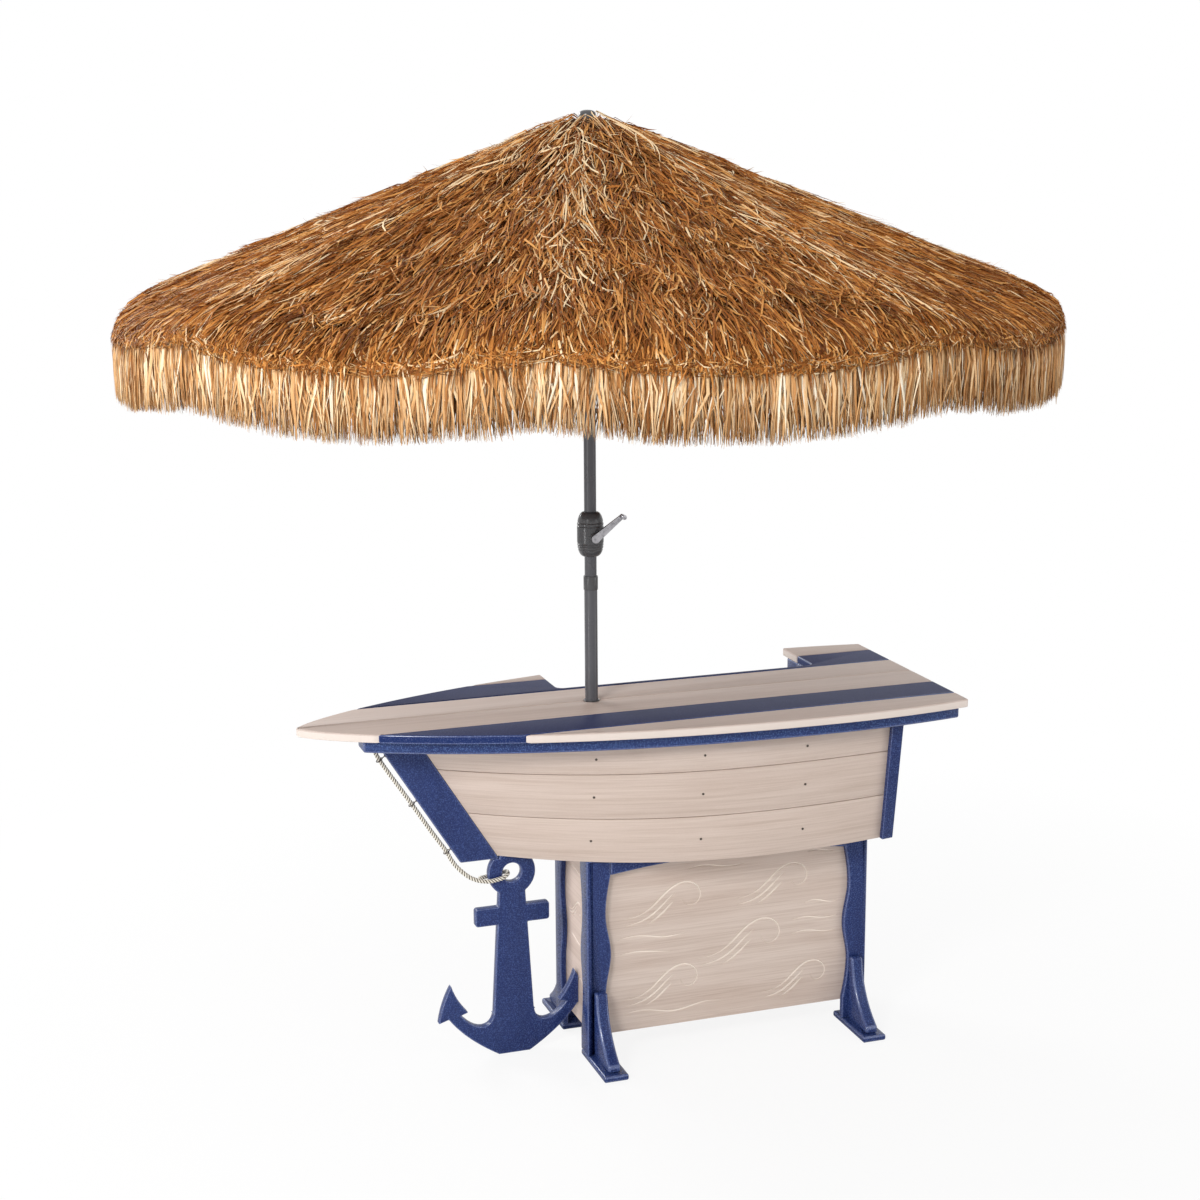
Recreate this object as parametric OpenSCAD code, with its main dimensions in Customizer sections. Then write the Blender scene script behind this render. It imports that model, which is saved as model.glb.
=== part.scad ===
// Boat-shaped patio bar of recycled-plastic boards with a thatched crank umbrella.
// X runs from the bow to the stern, -Y is the guests' side, Z is up.
// The origin is on the floor at the axis of the umbrella's mast.

/* [Bar top] */
// Height of the bar top above the floor
top_z = 1067; // [1000:1:1150]
// Thickness of the planks of the top
top_t = 25; // [18:1:32]
// Width of one plank of the top
top_plank_w = 140; // [136:1:146]
// Gap between two planks of the top
top_gap = 3; // [1:0.5:5]
// Distance from the mast to the tip of the bow
bow_reach = 876; // [840:1:920]
// Distance from the mast to the stern edge
stern_reach = 1042; // [1036:1:1100]
// Half width of the top at its widest
top_half_w = 403; // [395:1:420]
// Half width of the top at the stern
stern_half_w = 368; // [350:1:390]
// Distance from the mast to the widest place of the top
top_widest = 640; // [600:1:680]

/* [Bartender cut-out] */
// Where the cut-out starts, on the bow side
cut_bow_x = -52; // [-60:1:-44]
// Where the cut-out ends, on the stern side
cut_stern_x = 786; // [780:1:792]
// Width of the strip of the fifth plank that is left behind the cut-out
cut_strip_w = 20; // [12:1:30]
// Radius of the two inner corners of the cut-out
cut_corner_r = 22; // [10:1:30]

/* [Gunwale and battens] */
// Height of the gunwale boards and of the battens
gunwale_t = 38; // [30:1:44]
// Width of the gunwale boards
gunwale_w = 70; // [60:1:80]
// How far the gunwale stands back from the edge of the top
gunwale_inset = 30; // [20:1:36]
// Distance from the mast to the bow end of the gunwale
gunwale_bow = 706; // [700:1:720]
// How far the gunwale stands back from the stern edge
gunwale_stern_inset = 14; // [8:1:20]
// Width of the cross battens under the top
batten_w = 76; // [70:1:80]
// Width of the rail under the strip behind the cut-out
rail_w = 50; // [40:1:60]
// How far the rail stands back from the strip's edge
rail_inset = 6; // [2:1:12]

/* [Hull] */
// Height of the hull's bottom above the floor
hull_bottom = 626; // [610:1:640]
// Thickness of the hull planks
hull_t = 19; // [15:1:22]
// Height of one hull plank
hull_plank_h = 141; // [136:1:146]
// Open seam between two hull planks
hull_seam = 1.5; // [0.5:0.5:3]
// Half width of the hull's bottom at its widest
hull_bottom_half = 275; // [268:1:282]
// Half width of the hull under the gunwale at its widest
hull_top_half = 312; // [300:1:320]
// Distance from the mast to the hull's widest place
hull_widest = 480; // [460:1:500]
// How far the hull draws in at the stern, at the bottom
stern_tuck_bottom = 36; // [20:1:44]
// How far the hull draws in at the stern, at the top
stern_tuck_top = 16; // [8:1:24]
// Distance from the mast to the outside of the transom
transom_x = 862; // [856:1:870]
// Width of the stern posts
post_w = 38; // [30:1:44]
// Thickness of the stern posts
post_t = 19; // [15:1:22]
// Width of the studs inside the hull
stud_w = 38; // [30:1:44]
// Depth of the studs inside the hull
stud_d = 60; // [50:1:70]

/* [Stem] */
// Thickness of the stem board
stem_t = 25; // [22:1:32]
// Width of the stem board, measured level
stem_w = 117; // [105:1:125]
// Distance from the mast to the stem's foot, at its hull edge
stem_foot = 293; // [285:1:300]
// Height of the stem's foot above the floor
stem_foot_z = 616; // [606:1:624]
// Angle of the stem above level, in degrees
stem_rake = 58.2; // [57:0.1:60]

/* [Cabinet] */
// Distance from the mast to the cabinet's bow end
cabinet_bow = 71; // [68:1:74]
// Distance from the mast to the cabinet's stern end
cabinet_stern = 831; // [820:1:840]
// Half depth of the cabinet
cabinet_half_d = 155; // [150:1:160]
// Thickness of the leg boards
board_t = 19; // [17:1:22]
// Width of a leg, seen from the front
leg_w = 75; // [70:1:80]
// Width of a leg, seen from the end
leg_side_w = 65; // [60:1:70]
// Depth of the scallops in the legs' inner edges
scallop_d = 16; // [8:1:20]
// Height of one scallop
scallop_h = 246; // [230:1:250]
// Height of the lowest scallop's lower end above the floor
scallop_z = 86; // [80:1:96]
// Thickness of the cabinet's panels
panel_t = 12.5; // [9:0.5:16]
// Height of the panels' lower edge above the floor
panel_z = 75; // [65:1:85]
// Height of the front apron at its ends
apron_h = 50; // [40:1:60]
// Rise of the arch in the aprons' lower edge
apron_rise = 24; // [10:1:28]

/* [Feet] */
// Thickness of the foot plates
foot_t = 19; // [15:1:22]
// How far a foot plate reaches out from its leg
foot_reach = 153; // [140:1:170]
// Height of a knee brace above its foot plate
brace_h = 202; // [180:1:220]
// Reach of a knee brace's foot
brace_reach = 134; // [120:1:138]
// Thickness of a knee brace
brace_t = 38; // [30:1:44]
// Depth of a knee brace at its top
brace_top = 24; // [16:1:30]

/* [Anchor] */
// Thickness of the anchor
anchor_t = 25; // [20:1:30]
// Distance from the mast to the anchor's centre line
anchor_x = 255; // [252:1:260]
// Radius of the anchor's ring
ring_r = 72; // [66:1:76]
// Radius of the hole in the ring
eye_r = 29; // [26:1:32]
// Height of the ring's centre above the floor
ring_z = 569; // [565:1:572]
// Width of the shank at the ring
shank_top_w = 79; // [70:1:86]
// Width of the shank at the arms
shank_foot_w = 126; // [110:1:134]
// Length of the cross bar
stock_w = 228; // [210:1:240]
// Height of the cross bar
stock_h = 56; // [48:1:62]
// Height of the cross bar's centre above the floor
stock_z = 438; // [430:1:446]

/* [Rope] */
// Diameter of the rope
rope_d = 12; // [10:0.5:13]

/* [Mast] */
// Diameter of the lower tube
low_tube_d = 38; // [37:0.5:40]
// Diameter of the upper tube
up_tube_d = 35; // [34:0.5:35]
// Wall of the two tubes
tube_wall = 1.3; // [1:0.1:1.4]
// Radial clearance where one round piece slides in another
slide_fit = 0.05; // [0.02:0.01:0.08]
// Height of the tube joint's upper end above the floor
joint_z = 1440; // [1420:1:1460]
// Height of the tube joint
joint_h = 40; // [30:1:50]
// Wall of the tube joint
joint_wall = 2; // [1.5:0.1:2.4]
// Length of the upper tube inside the lower one
joint_insert = 180; // [120:1:220]
// Outer radius of the umbrella ring's flange
flange_r = 23; // [22.5:0.5:26]
// Height of the umbrella ring's flange
flange_h = 3; // [2:0.5:5]
// Outer radius of the mast socket
socket_r = 34; // [30:1:36]
// Height of the mast socket
socket_h = 60; // [40:1:90]
// Thickness of the socket's floor
socket_floor = 6; // [3:1:10]

/* [Crank] */
// Height of the crank's axis above the floor
crank_z = 1557; // [1550:1:1570]
// Length of the crank housing
housing_h = 130; // [120:1:140]
// Outer radius of the crank housing
housing_r = 38.5; // [36:0.5:41]
// Wall of the crank housing
housing_wall = 4; // [3:0.5:5]
// Length of the crank's arm
crank_arm = 101; // [90:1:110]
// Angle of the crank's arm above level, in degrees
crank_angle = 37; // [0:1:80]
// Radius of the crank's hub
crank_hub_r = 10; // [8:0.5:12]
// Radius of the crank's spindle
spindle_r = 4; // [3:0.5:5]
// Radius of the cord drum inside the tube
drum_r = 11; // [9:0.5:12]

/* [Canopy frame] */
// Height of the ribs' pivots above the floor
hub_z = 2714; // [2680:1:2740]
// Radius of the circle of the ribs' and stretchers' pivots
pivot_r = 35; // [34:0.5:38]
// Number of ribs
rib_count = 8; // [8]
// Slope of the open ribs below level, in degrees
rib_slope = 21.5; // [20:0.1:24]
// Length of a rib from its pivot
rib_len = 1348; // [1300:1:1360]
// Width of a rib
rib_w = 12; // [10:0.5:13]
// Height of a rib
rib_h = 18; // [15:0.5:19]
// Wall of a rib
rib_wall = 1; // [0.8:0.1:1.5]
// Distance along a rib from its pivot to its stretcher
stretcher_at = 500; // [480:1:510]
// Length of a stretcher between its pivots
stretcher_len = 520; // [515:1:560]
// Width of a stretcher
stretcher_w = 8; // [6:0.5:8]
// Height of a stretcher
stretcher_h = 14; // [10:0.5:14]
// Side clearance of the ribs and stretchers in their slots
slot_fit = 0.3; // [0.2:0.05:0.5]
// Radius of the hinge pins
pin_r = 2; // [1.5:0.1:2.5]
// Radius of the hub and of the runner
hub_r = 46; // [45:0.5:50]
// Height of the hub
hub_h = 24; // [20:1:30]
// Height of the runner
runner_h = 44; // [36:1:56]
// Radius of the cap on the apex
cap_r = 24; // [20:1:27]

/* [Thatch] */
// Radius of the canopy's round rim
canopy_r = 1310; // [1305:1:1330]
// Thickness of the thatch at the upper end of a course
thatch_t = 9; // [6:1:12]
// How far the lower end of a course stands above the next
course_step = 12; // [6:1:16]
// Number of courses
course_count = 5; // [4:1:8]
// Length of the fringe
fringe_len = 170; // [140:1:200]
// Thickness of the fringe
fringe_t = 12; // [8:1:16]
// Height of the fringe's uncut band
fringe_band = 30; // [20:1:50]
// Strands in half a side's fringe
strand_count = 19; // [15:1:25]

/* [Hidden] */
$fn = 64;
eps = 0.01;
rest_gap = 0.3;

// Gap behind the stern posts, where the planks twist
post_gap = 0.8;
ridge_lap = 0.6;
rim_facets = 3;
pitch = top_plank_w + top_gap;
frame_z = top_z - top_t - gunwale_t;
cut_y = pitch + top_gap / 2 + cut_strip_w;
rail_y1 = cut_y - rail_inset;
rail_y0 = rail_y1 - rail_w;
gunwale_end = stern_reach - gunwale_stern_inset;
floor_z = hull_bottom + hull_t;
stem_run = 1 / tan(stem_rake);
bulkhead_x = cut_bow_x - 2 - hull_t;
stern_stud_x = cut_stern_x + 2 - stud_w;
stud_xs = [242, 556];
batten_xs = [-640, cut_bow_x - 2 - batten_w / 2, stud_xs[0], stud_xs[1],
    cut_stern_x + 2 + batten_w / 2, gunwale_end - batten_w / 2 - 5];
low_tube_r = low_tube_d / 2;
up_tube_r = up_tube_d / 2;
sleeve_r = low_tube_r + 2;
mast_foot = panel_z + board_t + socket_floor;
half_side = 180 / rib_count;
rib_run = stretcher_at * cos(rib_slope);
stretcher_rise = acos(rib_run / stretcher_len);
runner_z = hub_z - stretcher_at * sin(rib_slope) - stretcher_len * sin(stretcher_rise);
stretcher_side = rib_w / 2 + 0.5 + stretcher_w / 2;
face_slope = atan(tan(rib_slope) / cos(half_side));
thatch_under = hub_z + pivot_r * tan(rib_slope) + rib_h / 2 / cos(rib_slope) + 1.5;
navy = [0.16, 0.2, 0.42];
driftwood = [0.84, 0.77, 0.7];
grey_metal = [0.25, 0.26, 0.28];
chrome = [0.75, 0.76, 0.78];
straw = [0.72, 0.52, 0.3];

// Route of the rope: down the stem's leading edge, through the anchor's eye and back
rope_route = [
    [-662, 0, 1001.3], [-652, 0, 975], [-640, 0, 950], [-612, 0, 905], [-580, 0, 856],
    [-549, 0, 808], [-524, 0, 768], [-499, 0, 728], [-474, 0, 690], [-449, 0, 652],
    [-438, -1, 630], [-424, -4, 608], [-406, -9, 588], [-386, -14, 571], [-364, -18, 560],
    [-344, -21, 555], [-324, -22, 553], [-304, -21, 555], [-285, -20.5, 559], [-270, -13, 565], [-266, 0, 568],
    [-270, 13, 565], [-285, 20.5, 559], [-304, 21, 555], [-322, 20, 554], [-338, 14, 558],
    [-350, 6, 566]];
eye_points = [2, 5, 9];

// Half width of the top at x: a blunt bow curve up to the widest place, then a slow draw-in
function top_half(x) = x < top_widest
    ? top_half_w * pow(max(0, 1 - pow((top_widest - x) / (top_widest + bow_reach), 2.1)), 0.76)
    : top_half_w - (top_half_w - stern_half_w) * pow((x - top_widest) / (stern_reach - top_widest), 2);

// Stations from x0 to x1, closer together towards x0
function stations(x0, x1, n, crowd = 1) = [for (i = [0:n]) x0 + (x1 - x0) * pow(i / n, crowd)];
gunwale_xs = stations(-gunwale_bow, gunwale_end, 40, 1.3);

function reversed(list) = [for (i = [len(list) - 1:-1:0]) list[i]];
function side_curve(xs, inset, side) = [for (x = xs) [x, side * (top_half(x) - inset)]];

// Outline of the whole top
module top_outline() {
    xs = stations(-bow_reach, stern_reach, 60, 1.6);
    front = side_curve(xs, 0, -1);
    rear = reversed(side_curve([for (i = [1:len(xs) - 1]) xs[i]], 0, 1));
    polygon(concat(front, rear));
}

module rounded_rect(x0, y0, x1, y1, r) {
    translate([x0 + r, y0]) square([x1 - x0 - 2 * r, y1 - y0]);
    translate([x0, y0 + r]) square([x1 - x0, y1 - y0 - 2 * r]);
    for (x = [x0 + r, x1 - r], y = [y0 + r, y1 - r]) translate([x, y]) circle(r);
}

module top_plank(row) {
    y0 = row == 0 ? -top_half_w - 1 : (row - 3) * pitch + top_gap / 2;
    y1 = row == 5 ? top_half_w + 1 : (row - 2) * pitch - top_gap / 2;
    color(row == 1 || row == 4 ? navy : driftwood)
    translate([0, 0, top_z - top_t]) linear_extrude(top_t) difference() {
        intersection() {
            top_outline();
            translate([-bow_reach - 1, y0]) square([bow_reach + stern_reach + 2, y1 - y0]);
        }
        rounded_rect(cut_bow_x, cut_y, cut_stern_x, top_half_w + 100, cut_corner_r);
        circle(sleeve_r + rest_gap);
    }
}

// One side's gunwale band in plan
module gunwale_band(side) {
    polygon(concat(side_curve(gunwale_xs, gunwale_inset, side),
        reversed(side_curve(gunwale_xs, gunwale_inset + gunwale_w, side))));
}

module gunwale_front() {
    color(navy) translate([0, 0, frame_z]) linear_extrude(gunwale_t) gunwale_band(-1);
}

// Two curved boards beside the cut-out, and the straight rail behind the strip
module gunwale_rear() {
    color(navy) translate([0, 0, frame_z]) linear_extrude(gunwale_t) {
        difference() {
            gunwale_band(1);
            translate([cut_bow_x - 2, 0]) square([cut_stern_x - cut_bow_x + 4, top_half_w]);
        }
        translate([cut_bow_x - 2, rail_y0]) square([cut_stern_x - cut_bow_x + 4, rail_w]);
    }
}

// Cross boards between the gunwales, in the same layer
module top_battens() {
    color(navy) translate([0, 0, frame_z]) linear_extrude(gunwale_t) intersection() {
        polygon(concat(side_curve(gunwale_xs, gunwale_inset + gunwale_w, -1),
            reversed(side_curve(gunwale_xs, gunwale_inset + gunwale_w, 1))));
        for (x = batten_xs) {
            behind_cut = x > cut_bow_x && x < cut_stern_x;
            y1 = behind_cut ? rail_y0 : top_half_w;
            translate([x - batten_w / 2, -top_half_w]) square([batten_w, top_half_w + y1]);
        }
    }
}

// Hull edge of the stem at height z
function stem_x(z) = -stem_foot - (z - stem_foot_z) * stem_run;
function hull_rise(z) = (z - hull_bottom) / (frame_z - hull_bottom);
function between(a, b, f) = a + (b - a) * f;
function hull_w(z) = between(hull_bottom_half, hull_top_half, hull_rise(z));
function stern_tuck(z) = between(stern_tuck_bottom, stern_tuck_top, hull_rise(z));

// Half width of the hull's outside at x and z
function hull_half(x, z) = x < hull_widest
    ? stem_t / 2 + (hull_w(z) - stem_t / 2)
        * (1 - pow(max(0, (hull_widest - x) / (hull_widest - stem_x(z))), 2.2))
    : hull_w(z) - stern_tuck(z) * pow((x - hull_widest) / (transom_x - hull_widest), 2);

// Thickness t of a board that lies along the hull, measured across the boat
function across(x, z, t) = let (s = (hull_half(x + 1, z) - hull_half(x - 1, z)) / 2) t * sqrt(1 + s * s);
function hull_inside(x, z) = max(rest_gap, hull_half(x, z) - across(x, z, hull_t));

// A board that follows the hull's rear side, from the stem or from x0 to x1
module hull_board(z0, z1, x0, x1, n, inner, outer, at_stem = false) {
    function start(z) = at_stem ? stem_x(z) + rest_gap : x0;
    function corner(f, z, t) = let (x = between(start(z), x1, f))
        [x, max(rest_gap, hull_half(x, z) + across(x, z, t)), z];
    points = [for (i = [0:n]) let (f = i / n)
        each [corner(f, z0, outer), corner(f, z1, outer), corner(f, z1, inner), corner(f, z0, inner)]];
    walls = [for (i = [0:n - 1], j = [0:3]) let (a = 4 * i + j, b = 4 * i + (j + 1) % 4)
        each [[a, b + 4, b], [a, a + 4, b + 4]]];
    ends = [[0, 1, 2], [0, 2, 3], [4 * n, 4 * n + 2, 4 * n + 1], [4 * n, 4 * n + 3, 4 * n + 2]];
    polyhedron(points, concat(walls, ends));
}

function row_z0(row) = hull_bottom + row * hull_plank_h;
function row_z1(row) = row == 2 ? frame_z : row_z0(row + 1) - hull_seam;

module hull_plank(row) {
    color(driftwood) mirror([0, 1, 0])
        hull_board(row_z0(row), row_z1(row), 0, transom_x, 40, -hull_t, 0, at_stem = true);
}

// Rear planks at the bow and at the stern, and the transom between the side planks
module rear_planks() {
    color(driftwood) for (row = [0:2]) {
        z0 = row_z0(row);
        z1 = row_z1(row);
        y0 = hull_inside(transom_x, z0) - rest_gap;
        y1 = hull_inside(transom_x, z1) - rest_gap;
        hull_board(z0, z1, 0, bulkhead_x + hull_t, 10, -hull_t, 0, at_stem = true);
        hull_board(z0, z1, stern_stud_x, transom_x, 6, -hull_t, 0);
        translate([transom_x, 0, 0]) rotate([90, 0, -90]) linear_extrude(hull_t)
            polygon([[-y0, z0], [y0, z0], [y1, z1], [-y1, z1]]);
    }
}

module stem_board() {
    color(navy) translate([0, stem_t / 2, 0]) rotate([90, 0, 0]) linear_extrude(stem_t)
        polygon([[stem_x(stem_foot_z), stem_foot_z], [stem_x(frame_z), frame_z],
            [stem_x(frame_z) - stem_w, frame_z], [stem_x(stem_foot_z) - stem_w, stem_foot_z]]);
}

module stern_posts() {
    color(navy) for (side = [0, 1]) mirror([0, side, 0])
        hull_board(hull_bottom, frame_z, transom_x - post_w, transom_x, 6, post_gap, post_t);
}

// Half width inside the planks at height z, clear of a board from x0 to x1
function inside_at(x0, x1, z) = min(hull_inside(x0, z), hull_inside(x1, z)) - 2 * rest_gap;

// A stud or bulkhead across the boat, cut to the planks, reaching in to y_in
module hull_stud(x, w, y_in) {
    a = inside_at(x, x + w, floor_z);
    b = inside_at(x, x + w, frame_z);
    c = y_in < 0 ? a : y_in;
    d = y_in < 0 ? b : y_in;
    translate([x + w, 0, 0]) rotate([90, 0, -90]) linear_extrude(w)
        polygon(y_in < 0 ? [[-a, floor_z], [a, floor_z], [b, frame_z], [-b, frame_z]]
            : [[a - y_in, floor_z], [a, floor_z], [b, frame_z], [b - y_in, frame_z]]);
}

module hull_frames() {
    color(navy) {
        hull_stud(bulkhead_x, hull_t, -1);
        for (x = concat([for (s = stud_xs) s - stud_w / 2], stern_stud_x))
            hull_stud(x, stud_w, stud_d);
        mirror([0, 1, 0]) hull_stud(stern_stud_x, stud_w, stud_d);
        for (x = stud_xs) translate([x - stud_w / 2, rail_y0, floor_z])
            cube([stud_w, rail_w, frame_z - floor_z]);
    }
}

// Deck inside the hull's bottom, which the cabinet carries
module hull_floor() {
    xs = stations(-stem_foot + 32, transom_x - hull_t, 30);
    color(driftwood) translate([0, 0, hull_bottom]) linear_extrude(hull_t) difference() {
        polygon(concat([for (x = xs) [x, -hull_inside(x, hull_bottom) + 2 * rest_gap]],
            reversed([for (x = xs) [x, hull_inside(x, hull_bottom) - 2 * rest_gap]])));
        circle(low_tube_r + 1.5);
    }
}

// Four copies at the cabinet's corners, drawn for the bow end of the guests' side
module at_corners() {
    middle = (cabinet_stern - cabinet_bow) / 2;
    for (end = [0, 1], side = [0, 1])
        translate([middle, 0, 0]) mirror([end, 0, 0]) mirror([0, side, 0])
            translate([-middle, 0, 0]) children();
}

// Share of the scallops' depth at u, which runs from 0 to 2 over a board's two scallops
function scallop(u) = u > 0.5 && u < 1.5 ? (1 - cos(360 * u)) / 2 : sin(180 * min(u, 2 - u));

// A leg board's face, its scalloped edge at w
module leg_profile(w, skip = 0) {
    wave = [for (i = [0:36]) let (u = i / 18)
        [w - scallop_d * scallop(u), scallop_z + u * scallop_h]];
    polygon(concat([[skip, foot_t], [w, foot_t]], wave, [[w, hull_bottom], [skip, hull_bottom]]));
}

module leg_boards() {
    color(navy) at_corners() {
        translate([-cabinet_bow, board_t - cabinet_half_d, 0]) rotate([90, 0, 0])
            linear_extrude(board_t) leg_profile(leg_w, board_t + eps);
        translate([-cabinet_bow, -cabinet_half_d, 0]) rotate([90, 0, 90])
            linear_extrude(board_t) leg_profile(leg_side_w);
    }
}

module foot_plates() {
    color(navy) at_corners() linear_extrude(foot_t)
        rounded_rect(-cabinet_bow, -cabinet_half_d - foot_reach,
            leg_w - cabinet_bow, leg_side_w - cabinet_half_d, 5);
}

// A point on the curve from a to c that is drawn towards b
function bend(a, b, c, f) = (1 - f) * (1 - f) * a + 2 * f * (1 - f) * b + f * f * c;
function bend_points(a, b, c, n) = [for (i = [0:n]) bend(a, b, c, i / n)];

module knee_braces() {
    toe = 20;
    crown = 14;
    color(navy) at_corners()
        translate([(leg_w - brace_t) / 2 - cabinet_bow, -cabinet_half_d, foot_t])
        rotate([90, 0, 90]) linear_extrude(brace_t) mirror([1, 0])
        polygon(concat([[0, 0], [brace_reach, 0]],
            bend_points([brace_reach, toe], [brace_top + 14, brace_reach * 0.6],
                [brace_top, brace_h - crown], 12),
            bend_points([brace_top, brace_h - crown], [brace_top, brace_h], [brace_top - crown, brace_h], 5),
            [[0, brace_h]]));
}

// Boards between the legs' tops, with an arched lower edge
module aprons() {
    x0 = leg_w - cabinet_bow;
    x1 = cabinet_stern - leg_w;
    half = (x1 - x0) / 2;
    r = (half * half + apron_rise * apron_rise) / (2 * apron_rise);
    for (y = [-cabinet_half_d + board_t, cabinet_half_d]) color(navy)
        translate([0, y, 0]) rotate([90, 0, 0]) linear_extrude(board_t) difference() {
            translate([x0, hull_bottom - apron_h]) square([x1 - x0, apron_h]);
            translate([(x0 + x1) / 2, hull_bottom - apron_h + apron_rise - r]) circle(r, $fn = 360);
        }
}

module front_panel() {
    color(driftwood) translate([board_t - cabinet_bow, board_t - cabinet_half_d, panel_z])
        cube([cabinet_stern + cabinet_bow - 2 * board_t, panel_t, hull_bottom - panel_z]);
}

module side_panels() {
    y0 = board_t + panel_t - cabinet_half_d;
    y1 = cabinet_half_d - board_t;
    for (x = [board_t - cabinet_bow, cabinet_stern - board_t - panel_t]) color(driftwood)
        translate([x, y0, panel_z]) cube([panel_t, y1 - y0, hull_bottom - panel_z]);
}

module cabinet_floor() {
    x0 = board_t + panel_t - cabinet_bow;
    x1 = cabinet_stern - board_t - panel_t;
    y0 = board_t + panel_t - cabinet_half_d;
    y1 = cabinet_half_d - board_t;
    color(driftwood) translate([x0, y0, panel_z]) cube([x1 - x0, y1 - y0, board_t]);
}

// One half of the anchor's arms and fluke, u out from the shank and z up
arm_points = concat([[48, 0]],
        bend_points([48, 0], [150, 60], [201, 132], 10),
        [[232, 122]],
        bend_points([232, 122], [222, 185], [192, 237], 6),
        bend_points([192, 237], [178, 190], [141, 147], 6),
        [[163, 140]],
        bend_points([163, 140], [128, 96], [96, 96], 6),
        bend_points([96, 96], [68, 98], [shank_foot_w / 2, 132], 6));

module anchor() {
    color(navy) translate([-anchor_x, anchor_t / 2, 0]) rotate([90, 0, 0])
        linear_extrude(anchor_t) difference() {
            union() {
                polygon(concat(arm_points, reversed([for (p = arm_points) [-p[0], p[1]]])));
                polygon([[-shank_foot_w / 2, 120], [shank_foot_w / 2, 120],
                    [shank_top_w / 2, ring_z - 40], [-shank_top_w / 2, ring_z - 40]]);
                rounded_rect(-stock_w / 2, stock_z - stock_h / 2, stock_w / 2, stock_z + stock_h / 2, 9);
                circle_at(ring_z, ring_r);
            }
            circle_at(ring_z, eye_r);
            translate([-ring_r, hull_bottom]) square([2 * ring_r, ring_r]);
            translate([-ring_r, stem_foot_z - rest_gap])
                square([anchor_x - stem_foot + rest_gap + ring_r, ring_r]);
            translate([anchor_x - cabinet_bow + board_t, 0]) square([100, 300]);
        }
}

module circle_at(z, r) {
    translate([0, z]) circle(r, $fn = 96);
}

function cross3(a, b) = [a[1] * b[2] - a[2] * b[1], a[2] * b[0] - a[0] * b[2], a[0] * b[1] - a[1] * b[0]];
function unit(v) = v / norm(v);

// A smooth point on the rope's route: the spline through its points, at place i plus f
function rope_point(i, f) = let (
        n = len(rope_route) - 1,
        a = rope_route[max(0, i - 1)], b = rope_route[i],
        c = rope_route[min(n, i + 1)], d = rope_route[min(n, i + 2)])
    0.5 * (2 * b + (c - a) * f + (2 * a - 5 * b + 4 * c - d) * f * f
        + (3 * b - a - 3 * c + d) * f * f * f);

rope_rings = [for (i = [0:len(rope_route) - 2], f = [0, 0.5]) rope_point(i, f), rope_route[len(rope_route) - 1]];
function rope_way(i) = unit(rope_rings[min(len(rope_rings) - 1, i + 1)] - rope_rings[max(0, i - 1)]);

module rope() {
    sides = 8;
    last = len(rope_rings) - 1;
    points = [for (i = [0:last]) let (
            way = rope_way(i),
            u = unit(cross3(way, [0.3, 0.2, 1] - (abs(way[2]) > 0.98 ? [0, 1, 1] : [0, 0, 0]))),
            v = cross3(way, u))
        each [for (k = [0:sides - 1]) let (t = 360 * k / sides)
            rope_rings[i] + rope_d / 2 * (cos(t) * u + sin(t) * v)]];
    walls = [for (i = [0:last - 1], k = [0:sides - 1]) let (
            a = i * sides + k, b = i * sides + (k + 1) % sides)
        each [[a, b + sides, b], [a, a + sides, b + sides]]];
    ends = [[for (k = [0:sides - 1]) k], [for (k = [sides - 1:-1:0]) last * sides + k]];
    color([0.8, 0.76, 0.68]) polyhedron(points, concat(walls, ends));
}

// Screw eyes that hold the rope on the stem, and the screws of the hull planks
module fixings() {
    wire_r = 1.6;
    loop_r = rope_d / 2 + 3.5;
    color([0.3, 0.3, 0.32]) {
        for (p = eye_points) {
            at = rope_route[p];
            edge_x = stem_x(at[2]) - stem_w;
            reach = (edge_x - at[0]) * sin(stem_rake);
            translate(at) rotate([0, stem_rake - 90, 0]) {
                rotate_extrude($fn = 48) translate([loop_r, 0]) circle(wire_r, $fn = 16);
                translate([loop_r, 0, 0]) rotate([0, 90, 0]) cylinder(r = wire_r, h = reach - loop_r, $fn = 16);
                translate([reach - 1.5, 0, 0]) rotate([0, 90, 0]) cylinder(r = 4, h = 1.5, $fn = 24);
            }
        }
        for (row = [0:2], x = concat(bulkhead_x + hull_t / 2, stud_xs)) {
            z = (row_z0(row) + row_z1(row)) / 2;
            tilt = atan((hull_half(x, row_z1(row)) - hull_half(x, row_z0(row))) / hull_plank_h);
            turn = atan((hull_half(x + 20, z) - hull_half(x - 20, z)) / 40);
            translate([x, -hull_half(x, z) - rest_gap, z]) rotate([0, 0, -turn]) rotate([90 + tilt, 0, 0])
                cylinder(r = 3.6, h = 1, $fn = 24);
        }
    }
}

// Ring in the top's hole, and the socket on the cabinet's floor
module mast_guides() {
    color(grey_metal) {
        difference() {
            union() {
                translate([0, 0, top_z - top_t]) cylinder(r = sleeve_r, h = top_t + flange_h);
                translate([0, 0, top_z]) cylinder(r = flange_r, h = flange_h);
            }
            translate([0, 0, top_z - top_t - 1])
                cylinder(r = low_tube_r + slide_fit, h = top_t + flange_h + 2);
        }
        translate([0, 0, panel_z + board_t]) difference() {
            cylinder(r = socket_r, h = socket_h);
            translate([0, 0, socket_floor]) cylinder(r = low_tube_r + slide_fit, h = socket_h);
        }
    }
}

module tube(r, wall, z0, z1) {
    translate([0, 0, z0]) difference() {
        cylinder(r = r, h = z1 - z0);
        translate([0, 0, -1]) cylinder(r = r - wall, h = z1 - z0 + 2);
    }
}

module lower_tube() {
    color(grey_metal) tube(low_tube_r, low_tube_r - up_tube_r - slide_fit, mast_foot, joint_z - 4);
}

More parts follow.
